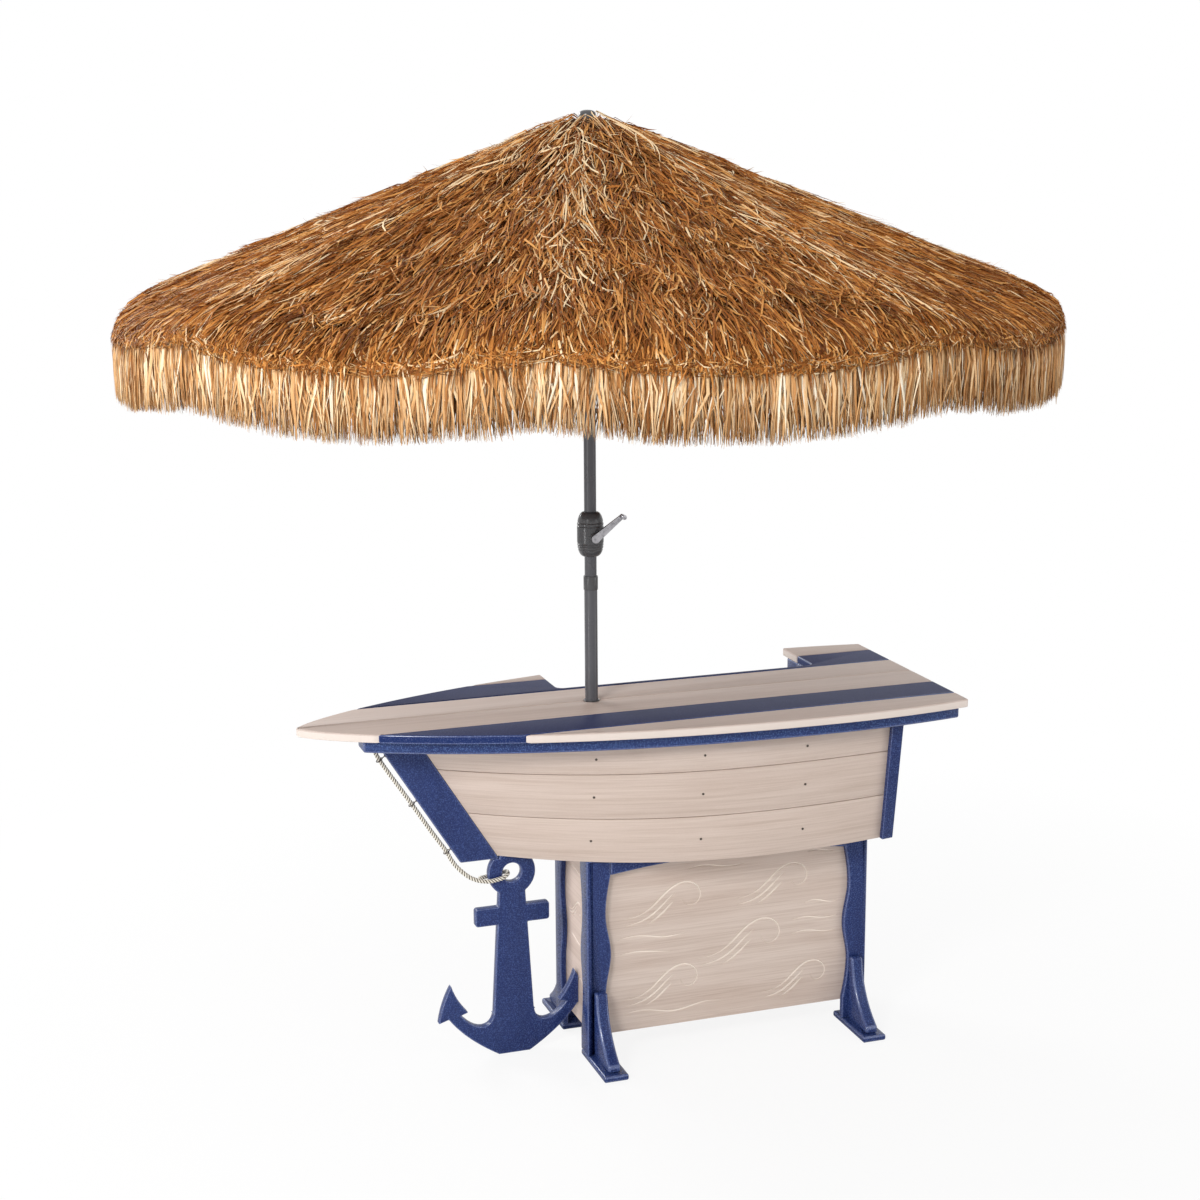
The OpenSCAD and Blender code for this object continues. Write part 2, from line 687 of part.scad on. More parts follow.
module tube_joint() {
    color(grey_metal) {
        difference() {
            translate([0, 0, joint_z - joint_h]) cylinder(r = low_tube_r + joint_wall, h = joint_h);
            translate([0, 0, joint_z - joint_h - 1]) cylinder(r = up_tube_r + slide_fit, h = joint_h + 2);
            translate([0, 0, joint_z - joint_h - 1]) cylinder(r = low_tube_r + slide_fit, h = joint_h - 3);
        }
    }
}

module upper_tube() {
    color(grey_metal) difference() {
        tube(up_tube_r, tube_wall, joint_z - joint_insert, hub_z + hub_h / 2);
        translate([0, 0, crank_z]) rotate([90, 0, 0])
            cylinder(r = spindle_r + slide_fit, h = 2 * low_tube_d, center = true, $fn = 32);
    }
}

// Ribbed barrel round the tube, with a boss for the crank
module crank_housing() {
    low = crank_z - housing_h / 2 + 7;
    high = low + housing_h;
    neck = up_tube_r + 6;
    groove = 1.2;
    color(grey_metal) difference() {
        union() {
            rotate_extrude($fn = 96) polygon(concat(
                [[up_tube_r + slide_fit, low], [neck, low]],
                bend_points([neck, low], [housing_r, low], [housing_r, low + 26], 6),
                [[housing_r, low + 36], [housing_r - groove, low + 38], [housing_r, low + 40],
                    [housing_r, high - 40], [housing_r - groove, high - 38], [housing_r, high - 36]],
                bend_points([housing_r, high - 26], [housing_r, high], [neck, high], 6),
                [[up_tube_r + slide_fit, high]]));
            translate([0, -housing_r + 4, crank_z]) rotate([90, 0, 0]) cylinder(r = crank_hub_r + 5, h = 8);
        }
        translate([0, 0, low + 10]) cylinder(r = up_tube_r + 8, h = housing_h - 20);
        translate([0, 0, low + 26]) cylinder(r = housing_r - housing_wall, h = housing_h - 52);
        translate([0, 0, crank_z]) rotate([90, 0, 0])
            cylinder(r = crank_hub_r + slide_fit, h = housing_r + 10);
    }
}

// Spindle with its cord drum inside the tube, hub, tapered arm and knob
module crank_handle() {
    face = housing_r + 5;
    color(chrome) translate([0, 0, crank_z]) rotate([90, 0, 0]) {
        translate([0, 0, -up_tube_r - 4]) cylinder(r = spindle_r, h = up_tube_r + 35);
        translate([0, 0, -9]) cylinder(r = drum_r, h = 18);
        translate([0, 0, up_tube_r + 3]) cylinder(r = crank_hub_r, h = face + 8 - up_tube_r - 3);
        translate([0, 0, face]) rotate([0, 0, crank_angle]) {
            cylinder(r = 12.5, h = 8);
            translate([crank_arm, 0, 0]) cylinder(r = 7, h = 8);
            linear_extrude(8) polygon([[0, -12], [crank_arm, -6.5], [crank_arm, 6.5], [0, 12]]);
            translate([crank_arm, 0, 0]) cylinder(r = 5, h = 24);
            translate([crank_arm, 0, 16]) cylinder(r = 7, h = 10);
        }
    }
}

// A disc with a slot and a cross pin for each rib or stretcher, bevelled at its upper edge
module slotted_disc(z0, h, pivot_z, slot_w, side, bevel) {
    inner = pivot_r - rib_h / 2 - 2;
    difference() {
        translate([0, 0, z0]) rotate_extrude($fn = 96) polygon([[0, 0], [hub_r, 0],
            [hub_r, h - bevel], [hub_r - bevel / tan(rib_slope + 1), h], [0, h]]);
        translate([0, 0, z0 - 1]) cylinder(r = up_tube_r + slide_fit, h = h + 2);
        for (k = [0:rib_count - 1]) rotate([0, 0, (k + 0.5) * 2 * half_side])
            translate([inner, side - slot_w / 2, z0 - 1]) cube([hub_r, slot_w, h + 2]);
    }
    for (k = [0:rib_count - 1]) rotate([0, 0, (k + 0.5) * 2 * half_side])
        translate([pivot_r, side - slot_w / 2 - 1.5, pivot_z]) rotate([-90, 0, 0])
            cylinder(r = pin_r, h = slot_w + 3, $fn = 32);
}

module top_hub() {
    color(grey_metal) slotted_disc(hub_z - hub_h / 2, hub_h, hub_z, rib_w + 2 * slot_fit, 0,
        hub_h / 3);
}

module top_cap() {
    base = hub_z + hub_h / 2;
    color([0.12, 0.12, 0.13]) rotate_extrude($fn = 64) polygon(concat(
        [[0, base], [cap_r, base], [cap_r, base + 16]],
        bend_points([cap_r, base + 16], [cap_r, base + 30], [0, base + 30], 8)));
}

module runner() {
    color(grey_metal) slotted_disc(runner_z - runner_h + 12, runner_h, runner_z,
        stretcher_w + 2 * slot_fit, stretcher_side, 2);
}

// A bar from its pivot at the origin along +X, with a round eye and a bore
module linkage(l, w, h, wall, tail) {
    rotate([-90, 0, 0]) translate([0, 0, -w / 2]) difference() {
        union() {
            cylinder(r = h / 2, h = w, $fn = 48);
            translate([0, -h / 2, 0]) cube([l, h, w]);
            if (tail) translate([l, 0, 0]) cylinder(r = h / 2, h = w, $fn = 48);
        }
        translate([0, 0, -1]) cylinder(r = pin_r + slide_fit, h = w + 2, $fn = 32);
        if (wall > 0) translate([h, wall - h / 2, wall]) cube([l - h - 10, h - 2 * wall, w - 2 * wall]);
    }
}

function rib_azimuth(k) = (k - 0.5) * 2 * half_side;

module rib(k) {
    color(grey_metal) rotate([0, 0, rib_azimuth(k)]) translate([pivot_r, 0, hub_z])
        rotate([0, rib_slope, 0]) linkage(rib_len, rib_w, rib_h, rib_wall, false);
}

module stretcher(k) {
    color(grey_metal) rotate([0, 0, rib_azimuth(k)]) translate([pivot_r, stretcher_side, runner_z])
        rotate([0, -stretcher_rise, 0]) linkage(stretcher_len, stretcher_w, stretcher_h, 0, true);
}

// Height of the thatch's underside at a distance p from the mast, square to a side
function under(p) = thatch_under - p * tan(face_slope);

// A profile over the distance from the mast, drawn out along one side of the canopy
module along_side(profile) {
    translate([0, canopy_r, 0]) rotate([90, 0, 0]) linear_extrude(canopy_r) polygon(profile);
}

// A point at radius r and angle t, clear of the side's middle, and moved past the ridge by lap
function side_point(r, t, lap = 0) =
    [r * cos(t) - lap * sin(half_side), max(r * sin(t), rest_gap / 2) + lap * cos(half_side)];

// Plan of half a side between two radii, from the middle of the side to just past the ridge
module half_side_plan(r0, r1) {
    polygon(concat(
        [for (i = [0:rim_facets]) side_point(r1, half_side * i / rim_facets)],
        [side_point(r1, half_side, ridge_lap), side_point(r0, half_side, ridge_lap)],
        [side_point(r0 / cos(half_side), 0)]));
}

// Half of one side of the canopy, from the middle of the side to the ridge
module thatch_half() {
    inner = cap_r + 4;
    p0 = inner * cos(half_side) - 1;
    step = (canopy_r + 5 - p0) / course_count;
    top = [for (i = [course_count:-1:1]) let (p = p0 + i * step)
        each [[p, under(p) + thatch_t + course_step], [p - step, under(p - step) + thatch_t]]];
    intersection() {
        along_side(concat([[p0, under(p0)], [canopy_r + 5, under(canopy_r + 5)]], top));
        translate([0, 0, under(canopy_r) - 50]) linear_extrude(800) half_side_plan(inner, canopy_r);
    }
    fringe_half();
}

// Strands of uneven length that hang from an uncut band under the rim
module fringe_half() {
    outer = canopy_r - 3;
    inner = outer - fringe_t;
    p0 = inner * cos(half_side) - 1;
    lap = 9;
    w = outer * sin(half_side / strand_count);
    intersection() {
        along_side([[p0, under(p0) - fringe_band], [canopy_r, under(canopy_r) - fringe_band],
            [canopy_r, under(canopy_r) + 1], [p0, under(p0) + 1]]);
        translate([0, 0, under(canopy_r) - 2 * fringe_band]) linear_extrude(4 * fringe_band)
            difference() {
                half_side_plan(outer / 2, outer);
                half_side_plan(1, inner);
            }
    }
    for (i = [0:strand_count - 1]) {
        turn = half_side * (i + 0.5) / strand_count;
        hang = fringe_len * (0.92 + 0.08 * sin(i * 137.5)) - fringe_band;
        lean = 0.1 * w * sin(i * 83);
        rotate([0, 0, turn]) translate([inner + 1, 0, under(outer * cos(turn)) - fringe_band])
            rotate([90, 0, 90]) linear_extrude(fringe_t - 2) polygon([[-0.44 * w, lap],
                [lean - 0.2 * w, -hang], [lean + 0.2 * w, -hang], [0.44 * w, lap]]);
    }
}

module thatch(k) {
    color(straw) {
        rotate([0, 0, rib_azimuth(k) - half_side]) thatch_half();
        rotate([0, 0, rib_azimuth(k) + half_side]) mirror([0, 1, 0]) thatch_half();
    }
}

top_plank(0);  // top_plank_1
top_plank(1);  // top_plank_2
top_plank(2);  // top_plank_3
top_plank(3);  // top_plank_4
top_plank(4);  // top_plank_5
top_plank(5);  // top_plank_6
gunwale_front();
gunwale_rear();
top_battens();
hull_plank(0);  // hull_plank_1
hull_plank(1);  // hull_plank_2
hull_plank(2);  // hull_plank_3
rear_planks();
stem_board();
stern_posts();
hull_frames();
hull_floor();
leg_boards();
foot_plates();
knee_braces();
aprons();
front_panel();
side_panels();
cabinet_floor();
anchor();
rope();
fixings();
mast_guides();
lower_tube();
tube_joint();
upper_tube();
crank_housing();
crank_handle();
top_hub();
top_cap();
runner();
rib(1);  // rib_1
rib(2);  // rib_2
rib(3);  // rib_3
rib(4);  // rib_4
rib(5);  // rib_5
rib(6);  // rib_6
rib(7);  // rib_7
rib(8);  // rib_8
stretcher(1);  // stretcher_1
stretcher(2);  // stretcher_2
stretcher(3);  // stretcher_3
stretcher(4);  // stretcher_4
stretcher(5);  // stretcher_5
stretcher(6);  // stretcher_6
stretcher(7);  // stretcher_7
stretcher(8);  // stretcher_8
thatch(1);  // thatch_1
thatch(2);  // thatch_2
thatch(3);  // thatch_3
thatch(4);  // thatch_4
thatch(5);  // thatch_5
thatch(6);  // thatch_6
thatch(7);  // thatch_7
thatch(8);  // thatch_8
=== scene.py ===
"""Looks of a boat-shaped patio bar with a thatched crank umbrella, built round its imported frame."""

import logging
import math
from dataclasses import dataclass, replace
from enum import Enum
from functools import cache, partialmethod

import bmesh
import bpy
import numpy as np
from mathutils import Matrix, Vector
from mathutils.geometry import delaunay_2d_cdt


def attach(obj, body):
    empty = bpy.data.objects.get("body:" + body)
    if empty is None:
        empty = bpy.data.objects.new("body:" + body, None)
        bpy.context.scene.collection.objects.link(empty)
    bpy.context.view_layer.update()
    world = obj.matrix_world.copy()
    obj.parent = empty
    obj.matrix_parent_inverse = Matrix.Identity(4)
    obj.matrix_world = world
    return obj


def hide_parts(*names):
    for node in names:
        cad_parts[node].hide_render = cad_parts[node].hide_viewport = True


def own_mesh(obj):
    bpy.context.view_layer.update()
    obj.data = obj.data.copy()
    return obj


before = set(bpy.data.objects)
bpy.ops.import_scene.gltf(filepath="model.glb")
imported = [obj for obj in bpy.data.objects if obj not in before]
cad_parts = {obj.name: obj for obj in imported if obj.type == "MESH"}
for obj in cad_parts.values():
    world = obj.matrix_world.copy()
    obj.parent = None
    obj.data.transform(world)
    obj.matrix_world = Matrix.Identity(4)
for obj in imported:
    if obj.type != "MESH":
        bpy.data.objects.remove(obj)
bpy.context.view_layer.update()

LOG = logging.getLogger("boat_bar")
MM = 0.001
TAU = 2 * math.pi
BOARD_SEED_STEP = 3.7

Colour = tuple[int, int, int]
Array = np.ndarray
Piece = bpy.types.Object


class Axis(Enum):
    """An axis of the frame."""

    X = 0
    Y = 1
    Z = 2


def linear(colour: Colour) -> tuple[float, float, float, float]:
    """A colour as a screen shows it, 0 to 255, turned into the scene's linear light."""
    parts = [c / 255 for c in colour]
    return (*[p / 12.92 if p <= 0.04045 else ((p + 0.055) / 1.055) ** 2.4 for p in parts], 1.0)


# Shader maths


class Sock:
    """A shader socket on which arithmetic adds the Math node it names."""

    def __init__(self, shader: "Shader", socket: bpy.types.NodeSocket) -> None:
        """Wraps one output socket of a shader."""
        self.shader = shader
        self.socket = socket

    def _math(self, operation: str, *values: "Sock | float") -> "Sock":
        """One Math node on this socket and the values."""
        return self.shader.node("ShaderNodeMath", {"operation": operation}, self, *values)

    __add__ = partialmethod(_math, "ADD")
    __sub__ = partialmethod(_math, "SUBTRACT")
    __mul__ = partialmethod(_math, "MULTIPLY")
    __truediv__ = partialmethod(_math, "DIVIDE")
    floor = partialmethod(_math, "FLOOR")
    least = partialmethod(_math, "MINIMUM")
    most = partialmethod(_math, "MAXIMUM")

    def __rsub__(self, other: float) -> "Sock":
        """A number less this socket."""
        return self.shader.node("ShaderNodeMath", {"operation": "SUBTRACT"}, other, self)

    def above(self, edge: float, soft: float) -> "Sock":
        """0 below the edge and 1 above it, over a soft width."""
        settings = {"interpolation_type": "SMOOTHSTEP"}
        return self.shader.node("ShaderNodeMapRange", settings, self, edge - soft, edge + soft)


class Shader:
    """The nodes of one material or world, with the methods that every finish uses."""

    def __init__(self, owner: bpy.types.Material | bpy.types.World) -> None:
        """Takes over the owner's nodes, of which its Principled or Background shader stays."""
        self.owner = owner
        owner.use_nodes = True
        self.tree = owner.node_tree
        self.surface = next(n for n in self.tree.nodes if n.type in ("BSDF_PRINCIPLED", "BACKGROUND"))
        self._coords: Sock | None = None

    @classmethod
    def material(cls, name: str) -> "Shader":
        """Starts a material."""
        return cls(bpy.data.materials.new(name))

    def node(self, kind: str, settings: dict | None = None, *values, out: int | str = 0, **named) -> Sock:
        """Adds one node.

        Args:
            kind: The node's type.
            settings: Its properties, set first.
            values: What its inputs take, in order. None leaves one alone.
            out: The output to hand back.
            named: What its inputs take, by name, with _ for a space.

        Returns:
            The wrapped output socket.
        """
        made = self.tree.nodes.new(kind)
        for key, value in (settings or {}).items():
            setattr(made, key, value)
        for i, value in enumerate(values):
            self._feed(made.inputs[i], value)
        for key, value in named.items():
            self._feed(made.inputs[key.replace("_", " ")], value)
        return Sock(self, made.outputs[out])

    def _feed(self, socket: bpy.types.NodeSocket, value) -> None:
        """Links a socket, or sets its value."""
        if value is None:
            return
        if isinstance(value, Sock):
            self.tree.links.new(value.socket, socket)
        else:
            socket.default_value = value

    def coords(self) -> Sock:
        """Object coordinates, in metres in the row frame."""
        if self._coords is None:
            self._coords = self.node("ShaderNodeTexCoord", None, out="Object")
        return self._coords

    def along(self, axis: Axis) -> Sock:
        """One of the three Object coordinates."""
        return self.node("ShaderNodeSeparateXYZ", None, self.coords(), out=axis.value)

    def noise(self, scale: tuple[float, float, float], detail: float = 2.0, w: "Sock | float" = 0.0,
              rough: float = 0.5) -> Sock:
        """Noise from 0 to 1 whose cells are 1 / scale metres long each way."""
        place = self.node("ShaderNodeMapping", None, self.coords(), None, None, scale)
        return self.node("ShaderNodeTexNoise", {"noise_dimensions": "4D"}, place, w, 1.0, detail, rough)

    def mix(self, share: "Sock | float", a, b) -> Sock:
        """A colour between a and b, each a Sock or a colour from 0 to 255."""
        made = self.tree.nodes.new("ShaderNodeMix")
        made.data_type = "RGBA"
        self._feed(made.inputs[0], share)
        for socket, value in ((made.inputs[6], a), (made.inputs[7], b)):
            self._feed(socket, value if isinstance(value, Sock) else linear(value))
        return Sock(self, made.outputs[2])

    def attribute(self, name: str) -> Sock:
        """A mesh attribute's number."""
        return self.node("ShaderNodeAttribute", {"attribute_name": name}, out="Fac")

    def ramp(self, value: Sock, stops: tuple) -> Sock:
        """A colour from a ramp of stops, each a place from 0 to 1 and a colour."""
        made = self.node("ShaderNodeValToRGB", None, value)
        elements = made.socket.node.color_ramp.elements
        while len(elements) < len(stops):
            elements.new(0.5)
        for element, (place, colour) in zip(elements, stops):
            element.position = place
            element.color = linear(colour)
        return made

    def bump(self, height: Sock, depth: float, strength: float = 1.0) -> Sock:
        """A normal from a height of 0 to 1 that stands for depth metres."""
        return self.node("ShaderNodeBump", None, Strength=strength, Distance=depth, Height=height)

    def rays(self, kind: str) -> Sock:
        """1 for rays of one kind, and 0 for the rest."""
        return self.node("ShaderNodeLightPath", None, out=f"Is {kind} Ray")

    def finish(self, **sockets) -> bpy.types.Material | bpy.types.World:
        """Sets the sockets of the shader that stayed, and hands back the owner of the nodes."""
        for key, value in sockets.items():
            self._feed(self.surface.inputs[key.replace("_", " ")], value)
        return self.owner


# Finishes


@dataclass(frozen=True)
class Lumber:
    """Recycled plastic lumber: streaks along each board, fine grain and flecks.

    Boards are told apart across the grain, by their width and where the first one starts. Below the top's
    upper face a painted light colour shows, standing in for the light on the boards' edges: a painted
    highlight on the pale boards and a painted sheen on the navy ones. The cut colour shows where the mesh
    says so.
    """

    name: str
    slot: str
    body: Colour
    streak: Colour
    fleck: Colour
    across: Axis
    board: float = 143 * MM
    start: float = 0.0
    streak_share: float = 0.6
    fleck_edge: float = 0.66
    roughness: float = 0.5
    relief: float = 0.12 * MM
    bands: float = 38.0
    gloss: float = 0.5
    fleck_scale: float = 750.0
    cloud: float = 0.18
    cut: Colour = (250, 242, 232)
    painted_edge_light: Colour | None = None
    painted_edge_light_below: float = 1062.5 * MM

    def stretched(self, along: float, across: float) -> tuple[float, float, float]:
        """Noise scales that are short across the board's width and long the other two ways."""
        return tuple(across if axis is self.across else along for axis in Axis)

    def material(self) -> bpy.types.Material:
        """Builds the node material."""
        s = Shader.material(self.name)
        board = ((s.along(self.across) - self.start) / self.board).floor() * BOARD_SEED_STEP
        broad = s.noise(self.stretched(0.9, self.bands), 3.0, board)
        thin = s.noise(self.stretched(5.0, 260.0), 3.0, board, 0.6)
        grit = s.noise((self.fleck_scale,) * 3, 1.0)
        clouds = s.noise((5.0, 5.0, 5.0), 2.0, board)
        share = (broad.above(0.52, 0.17) * 0.45 + thin.above(0.55, 0.2) * 0.65) * self.streak_share
        colour = s.mix(share, self.body, self.streak)
        colour = s.mix(clouds * self.cloud, colour, self.fleck)
        if self.painted_edge_light:
            # painted light: faces below the top's upper face take the lighter edge colour
            colour = s.mix((self.painted_edge_light_below - s.along(Axis.Z)).above(0.0, MM) * 0.8, colour, self.painted_edge_light)
        colour = s.mix(grit.above(self.fleck_edge, 0.05) * 0.5, colour, self.fleck)
        colour = s.mix(s.attribute("cut"), colour, self.cut)
        height = thin * 0.6 + grit * 0.5
        return s.finish(Base_Color=colour, Roughness=grit * 0.2 + (self.roughness - 0.1),
                        Normal=s.bump(height, self.relief, 0.9), Specular_IOR_Level=self.gloss)


@dataclass(frozen=True)
class Paint:
    """A metal or plastic surface with a slight orange peel."""

    name: str
    slot: str
    body: Colour
    worn: Colour
    metallic: float = 0.0
    roughness: float = 0.4
    peel: float = 900.0
    smear: float = 9.0

    def material(self) -> bpy.types.Material:
        """Builds the node material."""
        s = Shader.material(self.name)
        peel = s.noise((self.peel,) * 3, 2.0)
        smear = s.noise((self.smear,) * 3, 3.0)
        colour = s.mix(smear.above(0.58, 0.2) * 0.5, self.body, self.worn)
        return s.finish(Base_Color=colour, Metallic=self.metallic,
                        Roughness=smear * 0.16 + (self.roughness - 0.08),
                        Normal=s.bump(peel, 0.03 * MM, 0.5))


@dataclass(frozen=True)
class Straw:
    """Dry palm strips: a tone for each strip, painted shade on the strips that lie low in the mat, and
    fibres.
    """

    name: str
    slot: str
    stops: tuple[tuple[float, Colour], ...]
    painted_shade: Colour = (50, 27, 10)

    def material(self) -> bpy.types.Material:
        """Builds the node material."""
        s = Shader.material(self.name)
        fibre = s.noise((420.0, 420.0, 60.0), 2.0)
        tone = s.attribute("tone") + (fibre - 0.5) * 0.34
        # painted shade: the depth attribute mixes in the dark shade colour
        colour = s.mix(s.attribute("depth"), s.ramp(tone, self.stops), self.painted_shade)
        return s.finish(Base_Color=colour, Roughness=fibre * 0.2 + 0.5,
                        Normal=s.bump(fibre, 0.4 * MM, 0.5), Specular_IOR_Level=0.12)


@dataclass(frozen=True)
class Cordage:
    """Laid rope: pale strands with painted shade in the valleys between them, and a dark tracer yarn."""

    name: str
    slot: str
    body: Colour
    valley_shade: Colour
    tracer: Colour

    def material(self) -> bpy.types.Material:
        """Builds the node material."""
        s = Shader.material(self.name)
        yarn = s.noise((1400.0, 1400.0, 1400.0), 2.0)
        # painted shade in the valleys between the strands
        colour = s.mix(s.attribute("valley_shade"), self.body, self.valley_shade)
        colour = s.mix(s.attribute("tracer"), colour, self.tracer)
        # fine yarn flecks, in the same dark colour as the painted valley shade
        colour = s.mix(yarn.above(0.6, 0.15) * 0.18, colour, self.valley_shade)
        return s.finish(Base_Color=colour, Roughness=0.75, Normal=s.bump(yarn, 0.3 * MM, 0.8))


# The top's edge colours are painted light: a painted highlight on the pale boards, a painted sheen on the
# navy ones.
TOP_DRIFTWOOD = Lumber("Top_driftwood", "driftwood_lumber", (214, 197, 187), (190, 170, 158),
                       (228, 216, 208), Axis.Y, gloss=0.3, painted_edge_light=(232, 220, 211))
TOP_NAVY = Lumber("Top_navy", "navy_lumber", (40, 47, 88), (32, 38, 74), (92, 102, 146), Axis.Y,
                  streak_share=0.5, fleck_edge=0.6, relief=0.05 * MM, gloss=0.08, fleck_scale=300.0,
                  painted_edge_light=(27, 47, 98))
HULL_WOOD = Lumber("Hull_weathered", "weathered_lumber", (211, 193, 181), (184, 162, 147),
                   (228, 215, 205), Axis.Z, 141 * MM, 626 * MM, 0.8, bands=60.0, cloud=0.08)
PANEL_WOOD = Lumber("Panel_weathered", "panel_lumber", (216, 199, 187), (184, 160, 145), (222, 214, 206),
                    Axis.Z, 2.0, streak_share=0.85, relief=0.04 * MM, bands=15.0)
PANEL_SIDE = replace(PANEL_WOOD, name="Panel_side", body=(216, 196, 184), streak=(182, 158, 143),
                     fleck=(226, 212, 202))
NAVY_LEVEL = Lumber("Navy_level", "navy_lumber", (31, 44, 94), (24, 34, 74), (84, 108, 168), Axis.Z, 0.4,
                    streak_share=0.5, fleck_edge=0.59, roughness=0.28, relief=0.04 * MM, gloss=0.24,
                    fleck_scale=300.0)
NAVY_UPRIGHT = replace(NAVY_LEVEL, name="Navy_upright", across=Axis.X)
NAVY_BAND = replace(NAVY_LEVEL, name="Navy_band", body=(27, 43, 94), streak=(22, 34, 78),
                    fleck=(92, 120, 176), fleck_edge=0.56, roughness=0.34, relief=0.05 * MM)
# Rounded navy edges: shinier, and lighter in colour as a painted highlight.
NAVY_EDGE_HIGHLIGHT = replace(NAVY_LEVEL, name="Navy_edge_highlight", body=(48, 64, 118), streak=(40, 54, 102),
                    fleck=(120, 142, 194), roughness=0.22, relief=0.03 * MM, gloss=0.9)

GREY_PAINT = Paint("Mast_grey", "grey_paint", (84, 84, 89), (90, 90, 95), 0.0, 0.28)
GREY_PLASTIC = Paint("Housing_grey", "grey_plastic", (76, 76, 78), (90, 90, 92), 0.0, 0.22)
DARK_STEEL = Paint("Fixing_steel", "dark_steel", (96, 88, 82), (70, 62, 56), 0.8, 0.4)
CHROME = Paint("Crank_chrome", "chrome", (192, 190, 194), (60, 58, 62), 1.0, 0.22, 300.0, 110.0)

ROPE_YARN = Cordage("Rope_yarn", "rope", (242, 236, 222), (66, 56, 42), (60, 52, 38))
THATCH_STRAW = Straw("Thatch_straw", "thatch", ((0.0, (98, 50, 16)), (0.26, (152, 88, 36)),
                     (0.54, (202, 130, 62)), (0.78, (232, 170, 96)), (1.0, (254, 228, 186))))
FRINGE_STRAW = Straw("Fringe_straw", "thatch", ((0.0, (140, 86, 42)), (0.26, (192, 134, 78)),
                     (0.52, (226, 176, 120)), (0.78, (246, 214, 168)), (1.0, (255, 243, 220))))

Finish = Lumber | Paint | Straw | Cordage


@cache
def material_of(finish: Finish) -> bpy.types.Material:
    """The finish's material, built when it is first asked for."""
    return finish.material()


# Meshes

MERGE_GAP = 0.02 * MM
FLAT_ANGLE = math.radians(0.2)
SHARP_ANGLE = math.radians(35)


def add_object(name: str, data: bpy.types.ID) -> Piece:
    """Puts an object with its data into the scene."""
    obj = bpy.data.objects.new(name, data)
    bpy.context.scene.collection.objects.link(obj)
    return obj


def new_piece(name: str, verts: Array, faces: Array, smooth: bool = True) -> Piece:
    """Makes a mesh object from arrays.

    Args:
        name: The piece's name.
        verts: Points, in metres.
        faces: Rows of four corners. A row whose last two are alike is a triangle.
        smooth: Whether the shading is smooth.

    Returns:
        The object, at the origin.
    """
    mesh = bpy.data.meshes.new(name)
    faces = np.asarray(faces, np.int32)
    triangle = faces[:, 2] == faces[:, 3]
    counts = np.where(triangle, 3, 4).astype(np.int32)
    keep = np.ones(faces.shape, bool)
    keep[triangle, 3] = False
    corners = faces[keep]
    mesh.vertices.add(len(verts))
    mesh.vertices.foreach_set("co", np.asarray(verts, np.float32).ravel())
    mesh.loops.add(len(corners))
    mesh.loops.foreach_set("vertex_index", corners.astype(np.int32))
    mesh.polygons.add(len(faces))
    starts = np.concatenate([[0], np.cumsum(counts)[:-1]]).astype(np.int32)
    mesh.polygons.foreach_set("loop_start", starts)
    mesh.update(calc_edges=True)
    mesh.validate()
    mesh.polygons.foreach_set("use_smooth", np.full(len(mesh.polygons), smooth))
    return add_object(name, mesh)


def set_attribute(obj: Piece, name: str, values: Array) -> None:
    """Stores one number for each point of a piece."""
    made = obj.data.attributes.new(name, "FLOAT", "POINT")
    made.data.foreach_set("value", np.asarray(values, np.float32))


def grid_faces(rows: int, cols: int, wrap: bool = False, start: int = 0) -> Array:
    """Quads of a grid of points laid out row by row, closed across the columns if wrap is set."""
    i, j = np.meshgrid(np.arange(rows - 1), np.arange(cols if wrap else cols - 1), indexing="ij")
    k = (j + 1) % cols
    quads = np.stack([i * cols + j, i * cols + k, (i + 1) * cols + k, (i + 1) * cols + j], -1)
    return quads.reshape(-1, 4) + start


def cap_faces(first: int, count: int, flip: bool) -> Array:
    """Triangles that close a ring of points, fanned from its first point."""
    j = np.arange(1, count - 1)
    tris = np.stack([np.full_like(j, first), first + j, first + j + 1, first + j + 1], -1)
    return tris[:, [0, 2, 1, 1]] if flip else tris


def round_axis(r: Array, turn: Array, z: Array) -> Array:
    """Points at a distance and an angle about the Z axis, and at a height: (r cos t, r sin t, z)."""
    return np.stack([r * np.cos(turn), r * np.sin(turn), z], -1)


def headings(line: Array) -> Array:
    """The way that a line of points runs at each point, 1 long."""
    way = np.gradient(line, axis=0)
    return way / np.linalg.norm(way, axis=1)[:, None]


def run_along(line: Array) -> Array:
    """The length of a line of points up to each of them."""
    return np.concatenate([[0], np.cumsum(np.linalg.norm(np.diff(line, axis=0), axis=1))])


def lathe(name: str, profile: Array, sides: int, lay: Matrix | None = None) -> Piece:
    """Turns a profile of (radius, height) round the Z axis, and joins its end to its start.

    Args:
        name: The piece's name.
        profile: The points round the wall of a tube, up its outside, in metres.
        sides: Points round the axis.
        lay: Where the finished mesh is laid. Its axis is upright at the origin if this is None.

    Returns:
        The object.
    """
    turn = np.arange(sides)[None] * TAU / sides
    points = round_axis(profile[:, :1], turn, np.repeat(profile[:, 1:], sides, 1))
    last = (len(profile) - 1) * sides
    j = np.arange(sides)
    k = (j + 1) % sides
    seam = np.stack([last + j, last + k, k, j], -1)
    faces = np.concatenate([grid_faces(len(profile), sides, wrap=True), seam])
    piece = new_piece(name, points.reshape(-1, 3), faces)
    if lay is not None:
        piece.data.transform(lay)
    return piece


